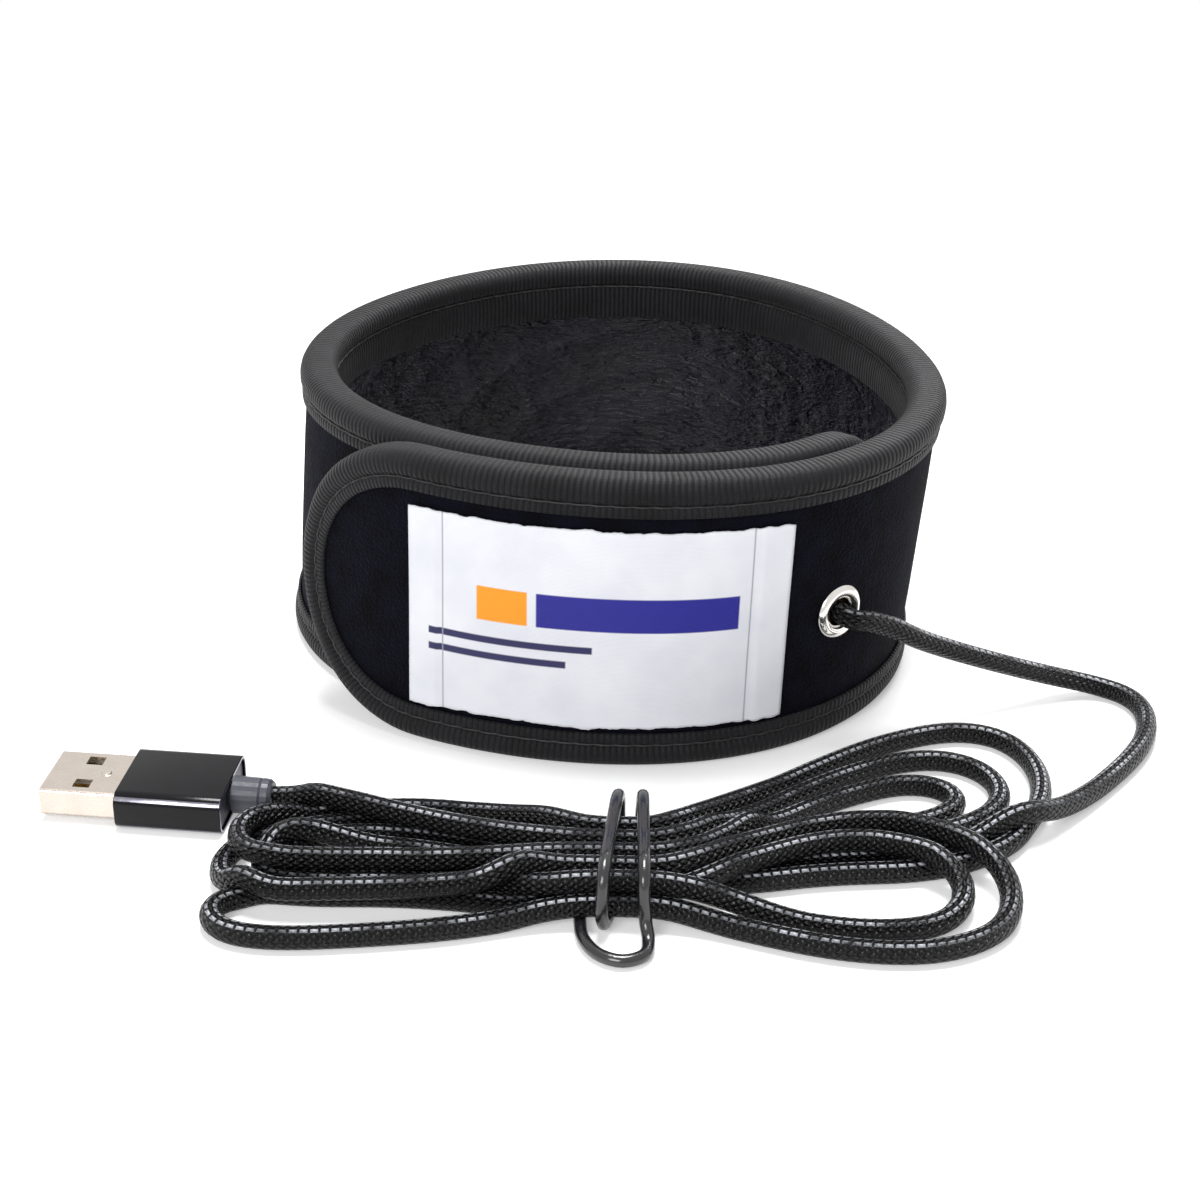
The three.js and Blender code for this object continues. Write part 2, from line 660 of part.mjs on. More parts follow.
// One moulding: the body inside the sleeve, with a socket for the shell, and the neck behind it
function overmouldGeometry() {
  const width = sleeveWidth - 2 * (sleeveWall + clearance);
  const height = sleeveHeight - 2 * (sleeveWall + clearance);
  const body = alongX(roundedRect(width, height, 1.3), sleeveFront + 0.3, sleeveRear - 0.4, 4);
  const socketWidth = shellWidth + 2 * clearance;
  const socketHeight = shellHeight + 2 * clearance;
  const socket = box(sleeveFront - 1, shellEnd + clearance,
    -socketWidth / 2, socketWidth / 2, -socketHeight / 2, socketHeight / 2);
  const neckStart = sleeveRear + 0.25;
  const neckEnd = sleeveRear + neckLength;
  const neck = turned([
    [sleeveRear - 2, 0], [sleeveRear - 2, 1.9], [neckStart, 1.9], [neckStart, neckRadius],
    [neckEnd - 1.9, neckRadius * 0.97], [neckEnd - 1.7, neckRadius * 0.93],
    [neckEnd - 1.5, neckRadius * 0.97], [neckEnd - 0.5, neckRadius * 0.93],
    [neckEnd, neckRadius * 0.8], [neckEnd, 0],
  ]);
  return join(cut(body, socket), neck);
}

// Finishes
function finish(color, roughness, metalness = 0) {
  return new THREE.MeshStandardMaterial({ color, roughness, metalness });
}

const loopPile = finish("#11121b", 0.95);
const grosgrain = finish("#2f3033", 0.9);
const coatedCloth = finish("#0d0e16", 0.35);
const foamRubber = finish("#2a2a2c", 0.95);
const polyimide = finish("#b0772a", 0.4);
const heaterFoil = finish("#8e8a84", 0.4, 1);
const hookNylon = finish("#18181b", 0.8);
const wovenLabel = finish("#e4e6ee", 0.8);
const nickel = finish("#d8d6d2", 0.25, 1);
const solder = finish("#b9bcc0", 0.35, 1);
const redPvc = finish("#8e1b1b", 0.5);
const blackPvc = finish("#151517", 0.5);
const cordBraid = finish("#17171a", 0.6);
const wireCoat = finish("#101013", 0.35);
const shellSteel = finish("#c9c0b6", 0.3, 1);
const whiteNylon = finish("#eceae4", 0.5);
const gold = finish("#c9a14b", 0.3, 1);
const anodised = finish("#16171f", 0.35, 1);
const greyMoulding = finish("#3a3b44", 0.5);

const group = new THREE.Group();

function add(parent, name, geometry, material) {
  const mesh = new THREE.Mesh(geometry, material);
  mesh.name = name;
  parent.add(mesh);
}

add(group, "outer_cover", coverGeometry(), loopPile);
add(group, "foam_pad", cut(layer(layerInset, foam), pocketTool()), foamRubber);
add(group, "heater_film", layer(bindingDepth, film), polyimide);
add(group, "heater_trace", traceGeometry(), heaterFoil);
add(group, "inner_lining", liningGeometry(), coatedCloth);
add(group, "edge_binding", bindingGeometry(), grosgrain);
add(group, "hook_patch", hookGeometry(), hookNylon);
add(group, "label", labelGeometry(), wovenLabel);
add(group, "eyelet", eyeletGeometry(), nickel);
add(group, "eyelet_washer", washerGeometry(), nickel);
add(group, "solder_pad_positive", padGeometry(1), solder);
add(group, "solder_pad_negative", padGeometry(-1), solder);
add(group, "lead_wire_positive", wireGeometry(1), redPvc);
add(group, "lead_wire_negative", wireGeometry(-1), blackPvc);
add(group, "cord_lead", tube(leadRoute, cordRadius, 22), cordBraid);
add(group, "cord_hank", hankGeometry(), cordBraid);
add(group, "cord_tail", tube(tailRoute, cordRadius, 2), cordBraid);
add(group, "twist_tie", tube(tieRoute, tieRadius, 64, 6), wireCoat);

const plug = new THREE.Group();
plug.position.copy(plugPlace);
plug.rotation.z = plugYaw;
group.add(plug);
add(plug, "plug_shell", shellGeometry(), shellSteel);
add(plug, "plug_tongue", tongueGeometry(), whiteNylon);
for (let i = 0; i < 4; i++) {
  add(plug, `plug_contact_${i + 1}`, contactGeometry(i), gold);
}
add(plug, "plug_sleeve", sleeveGeometry(), anodised);
add(plug, "plug_overmould", overmouldGeometry(), greyMoulding);

export default group;
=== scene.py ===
import math

import bpy
import numpy as np
from mathutils import Matrix, Vector


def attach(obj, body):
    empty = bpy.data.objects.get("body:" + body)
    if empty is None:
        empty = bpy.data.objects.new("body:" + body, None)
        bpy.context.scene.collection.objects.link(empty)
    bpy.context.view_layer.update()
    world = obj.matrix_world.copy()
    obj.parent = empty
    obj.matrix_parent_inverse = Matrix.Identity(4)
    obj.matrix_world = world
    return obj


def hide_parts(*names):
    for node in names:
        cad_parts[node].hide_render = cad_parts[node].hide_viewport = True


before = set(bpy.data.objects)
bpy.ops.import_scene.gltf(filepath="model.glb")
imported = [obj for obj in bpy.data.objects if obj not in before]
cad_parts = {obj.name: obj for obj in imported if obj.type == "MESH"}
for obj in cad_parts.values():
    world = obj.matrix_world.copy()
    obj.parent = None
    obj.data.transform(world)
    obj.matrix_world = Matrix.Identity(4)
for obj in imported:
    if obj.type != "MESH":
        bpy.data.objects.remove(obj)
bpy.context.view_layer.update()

# A telescope dew heater strip: a padded cloth strip wound into a ring, with a tape folded over its
# edge, a braided cord tied in a hank, and a plug. Lengths are in millimetres until they reach a mesh.
MM = 0.001

# The strip, as the CAD winds it. Offsets are out of the strip's middle surface, and a minus is inwards.
STRIP_LENGTH = 434
STRIP_HEIGHT = 50
INNER_CORNER = 12
OUTER_END = STRIP_HEIGHT / 2
INNER_END_RADIUS = 47.7
INNER_END_ANGLE = math.radians(-33)
BULGE_ANGLE = math.radians(-45)
TURN_PITCH = 7.0
OVAL_RISE = 0.8
LOBE_RISE = 1.55
WALL_LEAN = 3.4
COVER_INNER = 1.15
COVER_OUTER = 2.1
LINING_OUTER = -1.85
LINING_INNER = -2.1
LAYER_INSET = 1.4
BINDING_DEPTH = 6.2
EYELET_AT = 339.5
EYELET_HEIGHT = 23
LABEL_END = STRIP_LENGTH - 24.5
LABEL_LENGTH = 59.5
LABEL_BOTTOM = 7.2
LABEL_HEIGHT = 34.3

# The diameters of the cord and of the tie's coated wire
CORD = 3.4
TIE = 1.9

# How far out the cord starts, inside the eyelet's barrel
CORD_START = 0.75
EYELET_HOLE = 3.0

# How far in from each end the label is folded under, in millimetres
LABEL_FOLD = 5

# The plug, drawn along X with its tip at -X
PLUG_PLACE = Vector((-64.9, -71.2, 3.1))
PLUG_YAW = math.radians(-5)
SLEEVE_LENGTH = 16.4
SLEEVE_WIDTH = 15.4
SLEEVE_HEIGHT = 6.2
SLEEVE_WALL = 0.55

# The camera: its place and aim fitted to the ring's rim and foot, in an image of 1200 by 1200
CAMERA_PLACE = (-0.9, -332.26, 167.98)
CAMERA_AIM = (-0.9, 0.7, 0)
CAMERA_ROLL = math.radians(1.18)
CAMERA_LENS = 60
SENSOR = 36
IMAGE = 1200
AIM_PIXEL = (601.48, 606.39)


# Path of the wound strip

def path_point(turn):
    """The middle surface seen from above, at a turn in radians from the inner end: a spiral, a little oval."""
    angle = INNER_END_ANGLE - turn
    radius = (INNER_END_RADIUS + TURN_PITCH * turn / (2 * math.pi)
              + OVAL_RISE * np.cos(2 * (angle - BULGE_ANGLE))
              + LOBE_RISE * np.cos(3 * (angle - BULGE_ANGLE)))
    return np.stack([radius * np.cos(angle), radius * np.sin(angle)], -1)


# Running length along the path, for each turn of a table
TURNS = np.linspace(0, 1.6 * 2 * math.pi, 1601)
RUN = np.concatenate([[0], np.cumsum(np.linalg.norm(np.diff(path_point(TURNS), axis=0), axis=1))])


def place_loose(s, z, offset):
    """As place, but before the ring is moved over the origin."""
    s, z, offset = np.broadcast_arrays(*(np.asarray(v, float) for v in (s, z, offset)))
    turn = np.interp(s, RUN, TURNS)
    along = path_point(turn + 0.002) - path_point(turn - 0.002)
    along /= np.linalg.norm(along, axis=-1, keepdims=True)
    outward = np.stack([-along[..., 1], along[..., 0]], -1)
    reach = offset + WALL_LEAN * (z / STRIP_HEIGHT - 0.5) * outward[..., 0]
    return np.concatenate([path_point(turn) + outward * reach[..., None], z[..., None]], -1)


def rim():
    """The middle of the wound strip's outline, seen from above."""
    heights = [INNER_CORNER, STRIP_HEIGHT - INNER_CORNER, 0, STRIP_HEIGHT]
    s, z = np.meshgrid(np.linspace(0, STRIP_LENGTH, 900), heights)
    shown = place_loose(s, z, 3.2)[:, :, :2].reshape(-1, 2)
    return (shown.min(0) + shown.max(0)) / 2


RING_SHIFT = np.append(rim(), 0)


def place(s, z, offset):
    """Points of the wound strip: s along it, z up and offset out of its middle surface."""
    return place_loose(s, z, offset) - RING_SHIFT


def half_height(s, inset):
    """Half the strip's height at s, less an inset all round."""
    s = np.asarray(s, float)
    corner = INNER_CORNER - inset
    start = np.sqrt(np.clip(corner ** 2 - (INNER_CORNER - s) ** 2, 0, None)) + OUTER_END - INNER_CORNER
    end = np.sqrt(np.clip((OUTER_END - inset) ** 2 - (s - STRIP_LENGTH + OUTER_END) ** 2, 0, None))
    middle = np.full_like(s, OUTER_END - inset)
    return np.where(s < INNER_CORNER, start, np.where(s > STRIP_LENGTH - OUTER_END, end, middle))


def smoothstep(x, low, high):
    """0 below low, 1 above high, and an even slope between."""
    t = np.clip((x - low) / (high - low), 0, 1)
    return t * t * (3 - 2 * t)


# Materials

def linear(code):
    """A linear colour from its sRGB hex code."""
    parts = [int(code[i:i + 2], 16) / 255 for i in (1, 3, 5)]
    return [p / 12.92 if p <= 0.04045 else ((p + 0.055) / 1.055) ** 2.4 for p in parts] + [1]


def add_node(tree, kind, inputs=None, **settings):
    """A node with its settings, each input a value or a socket to link from."""
    made = tree.nodes.new(kind)
    for name, value in settings.items():
        setattr(made, name, value)
    for key, value in (inputs or {}).items():
        if isinstance(value, bpy.types.NodeSocket):
            tree.links.new(value, made.inputs[key])
        else:
            made.inputs[key].default_value = value
    return made


def calc(tree, operation, *values):
    """One step of arithmetic on sockets and numbers."""
    return add_node(tree, "ShaderNodeMath", dict(enumerate(values)), operation=operation).outputs[0]


def ridges(tree, value, pitch):
    """Rounded ridges from 0 to 1, a pitch apart along value."""
    return calc(tree, "ABSOLUTE", calc(tree, "SINE", calc(tree, "MULTIPLY", value, math.pi / pitch)))


def noise(tree, vector, pitch, detail=3.0, rough=0.5):
    """Noise whose features are about pitch millimetres wide."""
    return add_node(tree, "ShaderNodeTexNoise", {
        "Vector": vector, "Scale": 1 / (pitch * MM), "Detail": detail, "Roughness": rough}).outputs["Fac"]


def blend(tree, factor, a, b):
    """A colour from a to b."""
    made = add_node(tree, "ShaderNodeMix", data_type="RGBA")
    for key, value in ((0, factor), (6, a), (7, b)):
        if isinstance(value, bpy.types.NodeSocket):
            tree.links.new(value, made.inputs[key])
        else:
            made.inputs[key].default_value = value
    return made.outputs[2]


def between(tree, value, low, high, new_low=0.0, new_high=1.0):
    """The value's place from low to high, put on a new range and held inside it."""
    return add_node(tree, "ShaderNodeMapRange", {
        0: value, 1: low, 2: high, 3: new_low, 4: new_high}, clamp=True).outputs[0]


def bump(tree, height, depth, normal=None):
    """A normal from a height of 0 to 1, whose full relief is depth millimetres."""
    inputs = {"Height": height, "Distance": depth * MM, "Strength": 1.0}
    if normal is not None:
        inputs["Normal"] = normal
    return add_node(tree, "ShaderNodeBump", inputs).outputs[0]


def material(name, color, roughness, metallic=0.0, **sockets):
    """A material, its tree and its shader, with plain values set on the shader's sockets."""
    made = bpy.data.materials.new(name)
    made.use_nodes = True
    tree = made.node_tree
    shader = tree.nodes["Principled BSDF"]
    shader.inputs["Base Color"].default_value = linear(color)
    shader.inputs["Roughness"].default_value = roughness
    shader.inputs["Metallic"].default_value = metallic
    for socket, value in sockets.items():
        shader.inputs[socket.replace("_", " ")].default_value = value
    return made, tree, shader


def coordinates(tree, output="Object"):
    return add_node(tree, "ShaderNodeTexCoord").outputs[output]


def along_across(tree):
    """The two parts of the piece's own UV map, in metres along it and across it."""
    split = add_node(tree, "ShaderNodeSeparateXYZ", {0: coordinates(tree, "UV")})
    return split.outputs[0], split.outputs[1]


def grained(name, color, dark, roughness, pitch, depth, metallic=0.0, **sockets):
    """A finish whose colour, gloss and surface all vary a little with one grain."""
    made, tree, shader = material(name, color, roughness, metallic, **sockets)
    where = coordinates(tree)
    grain = noise(tree, where, pitch, 4)
    broad = noise(tree, where, pitch * 9, 2)
    link = tree.links.new
    shade = blend(tree, between(tree, broad, 0.35, 0.65), linear(color), linear(dark))
    link(shade, shader.inputs["Base Color"])
    gloss = between(tree, grain, 0.3, 0.7, roughness * 0.85, min(1, roughness * 1.15))
    link(gloss, shader.inputs["Roughness"])
    link(bump(tree, grain, depth), shader.inputs["Normal"])
    return made


def braid_material():
    """Tight black yarn braid: pillows of glossy yarn, darker in their grooves as painted shade, with two rows
    of painted highlight dashes along the top.
    """
    made, tree, shader = material("braided_yarn", "#070708", 0.3, Specular_IOR_Level=0.18)
    along, around = along_across(tree)
    pitch, yarns = 1.45, 10
    p = calc(tree, "DIVIDE", along, pitch * MM)
    q = calc(tree, "MULTIPLY", around, yarns)
    a = calc(tree, "ADD", p, q)
    b = calc(tree, "SUBTRACT", p, q)
    ridge_a = ridges(tree, a, 1)
    ridge_b = ridges(tree, b, 1)
    parity = calc(tree, "ABSOLUTE", calc(tree, "MODULO", calc(
        tree, "ADD", calc(tree, "FLOOR", a), calc(tree, "FLOOR", b)), 2.0))
    over_a = calc(tree, "MULTIPLY", ridge_a, calc(tree, "POWER", ridge_b, 0.35))
    over_b = calc(tree, "MULTIPLY", ridge_b, calc(tree, "POWER", ridge_a, 0.35))
    turned = calc(tree, "SUBTRACT", 1.0, parity)
    shown_a = calc(tree, "MULTIPLY", over_a, turned)
    height = calc(tree, "ADD", shown_a, calc(tree, "MULTIPLY", over_b, parity))
    fibre = noise(tree, coordinates(tree), 0.25, 3, 0.6)
    # Painted highlight: two rows of pale dashes along the top of the level tube, patchy along it.
    off_top = calc(tree, "ABSOLUTE", calc(tree, "SUBTRACT", q, yarns / 4))
    off_row = calc(tree, "ABSOLUTE", calc(tree, "SUBTRACT", off_top, 0.62))
    patchy = noise(tree, coordinates(tree), 7, 2)
    dash = ridges(tree, p, 1)
    painted_highlight = calc(tree, "MULTIPLY", between(tree, off_row, 0.3, 0.2), between(tree, dash, 0.3, 0.55))
    painted_highlight = calc(tree, "MULTIPLY", painted_highlight, between(tree, patchy, 0.4, 0.6, 0.1, 1.0))
    link = tree.links.new
    # Painted shade: the yarn is darker where its relief is low, in the grooves between pillows.
    yarn = blend(tree, between(tree, height, 0.1, 0.8), linear("#020202"), linear("#141416"))
    link(blend(tree, painted_highlight, yarn, linear("#b4b6bd")), shader.inputs["Base Color"])
    link(between(tree, fibre, 0.3, 0.7, 0.18, 0.34), shader.inputs["Roughness"])
    link(bump(tree, fibre, 0.04, bump(tree, height, 0.45)), shader.inputs["Normal"])
    return made


def pile_material():
    """Brushed loop pile: near-black navy, matt, with a soft sheen and a nap that lies unevenly."""
    made, tree, shader = material("loop_pile_cloth", "#06060d", 0.9, Sheen_Weight=0.05, Sheen_Roughness=0.4,
                                  Specular_IOR_Level=0.08)
    where = coordinates(tree)
    loops = add_node(tree, "ShaderNodeTexVoronoi", {"Vector": where, "Scale": 1 / (0.55 * MM)}).outputs[0]
    nap = noise(tree, where, 5, 3)
    fuzz = noise(tree, where, 0.4, 4, 0.7)
    link = tree.links.new
    link(blend(tree, between(tree, nap, 0.35, 0.65), linear("#040409"), linear("#0a0a16")),
         shader.inputs["Base Color"])
    tint = blend(tree, between(tree, nap, 0.3, 0.7), linear("#3a3f5a"), linear("#6d7390"))
    link(tint, shader.inputs["Sheen Tint"])
    link(bump(tree, fuzz, 0.18, bump(tree, loops, 0.3)), shader.inputs["Normal"])
    return made


def tape_material():
    """Grosgrain tape: dark grey, matt, with fine ribs across it, darker in the grooves between them as painted
    shade, and a finer weave between them.
    """
    made, tree, shader = material("grosgrain_tape", "#161618", 0.6, Sheen_Weight=0.04, Sheen_Roughness=0.4,
                                  Specular_IOR_Level=0.15)
    along, across = along_across(tree)
    rib = ridges(tree, along, 0.95 * MM)
    thread = ridges(tree, across, 0.4 * MM)
    wear = noise(tree, coordinates(tree), 6, 4, 0.6)
    link = tree.links.new
    lit = blend(tree, between(tree, wear, 0.35, 0.65), linear("#141416"), linear("#1d1d20"))
    # Painted shade: darker in the grooves between the ribs.
    link(blend(tree, between(tree, rib, 0.0, 0.6), linear("#09090a"), lit), shader.inputs["Base Color"])
    relief = calc(tree, "ADD", rib, calc(tree, "MULTIPLY", thread, 0.15))
    link(bump(tree, relief, 0.2), shader.inputs["Normal"])
    return made


def lining_material():
    """Thin coated cloth: dark navy with a wet gloss on its creases, and a faint square weave."""
    made, tree, shader = material("coated_lining", "#05050f", 0.2, Specular_IOR_Level=0.24)
    along, across = along_across(tree)
    where = coordinates(tree)
    weave_a = ridges(tree, along, 0.35 * MM)
    weave_b = ridges(tree, across, 0.35 * MM)
    flat = add_node(tree, "ShaderNodeMapping", {"Vector": where, "Scale": (0.45, 0.45, 1.6)}).outputs[0]
    wavy = noise(tree, flat, 3.2, 4, 0.6)
    crease = calc(tree, "ABSOLUTE", calc(tree, "SUBTRACT", calc(tree, "MULTIPLY", wavy, 2.0), 1.0))
    dull = noise(tree, where, 14, 2)
    link = tree.links.new
    link(blend(tree, between(tree, dull, 0.3, 0.7), linear("#030309"), linear("#080817")),
         shader.inputs["Base Color"])
    link(between(tree, dull, 0.3, 0.7, 0.16, 0.3), shader.inputs["Roughness"])
    weave = calc(tree, "MULTIPLY", weave_a, weave_b)
    link(bump(tree, weave, 0.02, bump(tree, crease, 1.7)), shader.inputs["Normal"])
    return made


# A plain print of bars: left, right, low and high edges in millimetres, and the colour. The last two are
# not print but painted shade lines where the label's ends turn under.
LABEL_PRINT_AND_FOLD_SHADE = [
    (40, 48, 17.2, 23, "#ffa012"),
    (8, 38.6, 17.2, 23, "#14128c"),
    (30, 56, 13.2, 14.4, "#1a1a52"),
    (34, 56, 10.4, 11.6, "#1a1a52"),
    # Painted shade lines at the two folds
    (6.1, 6.3, 0, 34.3, "#9a9ca6"),
    (53.6, 53.8, 0, 34.3, "#9a9ca6"),
]


def label_material():
    """White satin tape: fine warp lines, a faint cloudiness, a plain print of bars, and painted shade lines at
    the two folds.
    """
    made, tree, shader = material("printed_satin", "#eceef5", 0.5, Sheen_Weight=0.2, Specular_IOR_Level=0.4)
    along, across = along_across(tree)
    warp = ridges(tree, across, 0.22 * MM)
    cloud = noise(tree, coordinates(tree), 9, 3)
    white = blend(tree, between(tree, cloud, 0.3, 0.7), linear("#e4e6ee"), linear("#f0f1f7"))

    def bar(left, right, low, high, soft=0.1):
        """1 inside a box of the label, in millimetres from its lower left corner."""
        sides = [calc(tree, "SUBTRACT", along, left * MM), calc(tree, "SUBTRACT", right * MM, along),
                 calc(tree, "SUBTRACT", across, low * MM), calc(tree, "SUBTRACT", high * MM, across)]
        steps = [between(tree, side, -soft * MM, soft * MM) for side in sides]
        return calc(tree, "MULTIPLY", calc(tree, "MULTIPLY", steps[0], steps[1]),
                    calc(tree, "MULTIPLY", steps[2], steps[3]))

    link = tree.links.new
    color = white
    for left, right, low, high, ink_or_fold_shade in LABEL_PRINT_AND_FOLD_SHADE:
        color = blend(tree, bar(left, right, low, high), color, linear(ink_or_fold_shade))
    link(color, shader.inputs["Base Color"])
    link(bump(tree, warp, 0.03), shader.inputs["Normal"])
    return made


# Making and finishing a piece

def deselect():
    bpy.ops.object.select_all(action="DESELECT")


def named(name):
    """The object just added, under its name."""
    made = bpy.context.object
    made.name = name
    made.data.name = name
    return made


def edit(action):
    """Runs an action on everything in edit mode."""
    bpy.ops.object.mode_set(mode="EDIT")
    bpy.ops.mesh.select_all(action="SELECT")
    action()
    bpy.ops.object.mode_set(mode="OBJECT")


def wrapped(name, columns, rows, shape, closed=False):
    """A grid of columns by rows faces, moved to the points that shape gives, with a UV map in metres.

    shape takes the vertices' columns and rows and gives their points and their UVs, in millimetres.
    """
    deselect()
    bpy.ops.mesh.primitive_grid_add(x_subdivisions=columns, y_subdivisions=rows, size=2)
    made = named(name)
    mesh = made.data
    flat = np.empty(len(mesh.vertices) * 3)
    mesh.vertices.foreach_get("co", flat)
    flat = flat.reshape(-1, 3)
    i = np.rint((flat[:, 0] + 1) / 2 * columns).astype(int)
    j = np.rint((flat[:, 1] + 1) / 2 * rows).astype(int)
    points, uvs = shape(i, j)
    mesh.vertices.foreach_set("co", (points * MM).ravel())
    corners = np.empty(len(mesh.loops), int)
    mesh.loops.foreach_get("vertex_index", corners)
    mesh.uv_layers[0].data.foreach_set("uv", (uvs[corners] * MM).ravel())
    mesh.update()
    if closed:
        edit(lambda: bpy.ops.mesh.remove_doubles(threshold=0.00001))
        edit(lambda: bpy.ops.mesh.normals_make_consistent(inside=False))
    bpy.ops.object.shade_smooth()
    return made


def modify(obj, kind, **settings):
    """Adds a modifier with its settings and applies it."""
    deselect()
    obj.select_set(True)
    bpy.context.view_layer.objects.active = obj
    added = obj.modifiers.new(kind.lower(), kind)
    for name, value in settings.items():
        setattr(added, name, value)
    bpy.ops.object.modifier_apply(modifier=added.name)


def finish(obj, look, slot, *nodes, body="root"):
    """Gives a new piece its material, its body and the CAD nodes that it stands for."""
    obj.data.materials.clear()
    obj.data.materials.append(look)
    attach(obj, body)
    if nodes:
        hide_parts(*nodes)
    return obj


# Cord

def catmull(points, step):
    """A centripetal curve through points, as samples a step apart."""
    points = np.asarray(points, float)
    points = np.vstack([2 * points[0] - points[1], points, 2 * points[-1] - points[-2]])
    runs = []
    for p0, p1, p2, p3 in zip(points[:-3], points[1:-2], points[2:-1], points[3:]):
        t1 = np.linalg.norm(p1 - p0) ** 0.5
        t2 = t1 + np.linalg.norm(p2 - p1) ** 0.5
        t3 = t2 + np.linalg.norm(p3 - p2) ** 0.5
        t = np.linspace(t1, t2, max(2, int(np.linalg.norm(p2 - p1) * 4)), endpoint=False)[:, None]
        a1 = (t1 - t) / t1 * p0 + t / t1 * p1
        a2 = (t2 - t) / (t2 - t1) * p1 + (t - t1) / (t2 - t1) * p2
        a3 = (t3 - t) / (t3 - t2) * p2 + (t - t2) / (t3 - t2) * p3
        b1 = (t2 - t) / t2 * a1 + t / t2 * a2
        b2 = (t3 - t) / (t3 - t1) * a2 + (t - t1) / (t3 - t1) * a3
        runs.append((t2 - t) / (t2 - t1) * b1 + (t - t1) / (t2 - t1) * b2)
    return evenly(np.vstack(runs + [points[-2][None]]), step)


def evenly(line, step):
    """The same line in equal steps of about that length."""
    run = np.concatenate([[0], np.cumsum(np.linalg.norm(np.diff(line, axis=0), axis=1))])
    at = np.linspace(0, run[-1], int(round(run[-1] / step)) + 1)
    return np.stack([np.interp(at, run, line[:, k]) for k in range(3)], 1)


# Where the tie holds the hank the strands lie in two layers, each row one cord further forward

def upper(row, rightward):
    """A strand of the upper layer."""
    return waist(-83.9 - CORD * row, 6.6, rightward)


def lower(row, rightward):
    """A strand of the lower layer."""
    return waist(-82.2 - CORD * row, 3.65, rightward)


def waist(y, z, rightward):
    """Three points straight through the waist."""
    line = [(-3, y, z), (3, y, z), (9, y, z)]
    return line if rightward else line[::-1]


# The cord's way out of the eyelet and down to the hank
EXIT = place(EYELET_AT, EYELET_HEIGHT, COVER_OUTER)
LEAD = [
    place(EYELET_AT, EYELET_HEIGHT, CORD_START), EXIT,
    place(EYELET_AT, EYELET_HEIGHT - 0.4, COVER_OUTER + 2.6),
    (46.0, -43.6, 20.5), (50.0, -41.7, 17.4), (56.3, -38.2, 13.6), (63.5, -35.4, 10.2), (71.0, -32.6, 6.9),
    (78.6, -29.8, 3.8), (84.6, -29.0, 2.2), (89.2, -31.4, 1.75), (91.4, -37.0, 1.75), (89.6, -45.9, 1.75),
    (85.8, -52.8, 1.75), (79.6, -60.8, 1.9), (73.2, -68.1, 2.7), (67.8, -73.1, 3.9),
]

# On from there, into the waist
LEAD_IN = [
    (64.4, -75.6, 4.9), (60.5, -77.3, 4.4), (56, -79.4, 2.6), (50, -81.8, 1.75), (43, -83.6, 1.75),
    (36, -84.4, 1.75), (24, -86.4, 1.75), (15, -88.4, 2.7),
]

# From the plug's neck into the waist
TAIL = [
    (-50.3, -72.5, 3.1), (-47.6, -72.9, 3.5), (-44.8, -73.6, 4.3), (-39.8, -75.6, 5.4), (-30.8, -79.2, 5.5),
    (-22.6, -82.2, 5.6), (-14.8, -84.8, 6.0), (-8, -86.6, 6.5),
]

# The hank's loops on the right, each from the waist out and back
RIGHT_LOOPS = [
    [(16, -75.6, 4.6), (23, -68.3, 2.8), (30.2, -62, 1.75), (45, -51, 1.75), (57.9, -45.8, 1.75),
     (64.6, -47.2, 1.75), (68.1, -52.1, 1.75), (69.5, -60, 1.75), (67.8, -68.5, 1.75), (64.4, -75, 1.75),
     (59.5, -80.6, 1.75), (52.5, -85.2, 1.75), (45, -87.2, 1.75), (36, -87.9, 1.75), (24, -89.9, 1.75),
     (15, -91.8, 2.7)],
    [(15.8, -80.7, 4.6), (22, -74.4, 2.6), (29.6, -67.2, 1.75), (43.9, -57.6, 1.75), (53.9, -54.8, 1.75),
     (59.8, -57.4, 1.75), (62.6, -62.6, 1.75), (61.9, -68.4, 1.75), (57.2, -73.6, 1.75), (50, -77.2, 1.75),
     (43, -79.6, 1.75), (35, -80.9, 1.75), (24, -83, 1.75), (15, -85, 2.7)],
    [(15.5, -85.2, 4.6), (22, -79.6, 2.6), (29.8, -72.2, 1.75), (40, -65.6, 1.75), (48.4, -62.4, 1.75),
     (54.3, -64, 1.75), (56, -68.2, 1.75), (52.4, -72.2, 1.75), (46, -74.9, 1.75), (37, -77.2, 1.75),
     (28, -79.2, 1.75), (20, -80.6, 1.75), (14, -81.8, 2.7)],
    [(13.5, -91.3, 6.6), (23.4, -84.6, 5.6), (32.3, -80, 5.2), (38.9, -78.4, 5.2), (45.6, -78.8, 5.2),
     (51.4, -81.2, 5.2), (55.9, -85, 5.2), (58.6, -89.6, 4.4), (59.3, -94.6, 3), (57.4, -100, 2),
     (52.6, -104.2, 1.75), (46.2, -106.7, 1.75), (38.2, -107, 1.75), (30.3, -105.7, 1.75),
     (22.5, -103.2, 1.75), (14.6, -100.4, 2.4)],
    [(14, -94.4, 4.4), (20, -90.6, 5.2), (28, -86.3, 5.2), (36, -84, 5.2), (43.2, -84.3, 5.2),
     (49.2, -87, 5), (52.5, -91.4, 4), (52.1, -96.6, 2.8), (47.6, -100.6, 1.75), (41, -102.1, 1.75),
     (34, -101.8, 1.75), (26.7, -100.3, 2.2), (19, -98.6, 4.2), (14, -98, 5.8)],
]

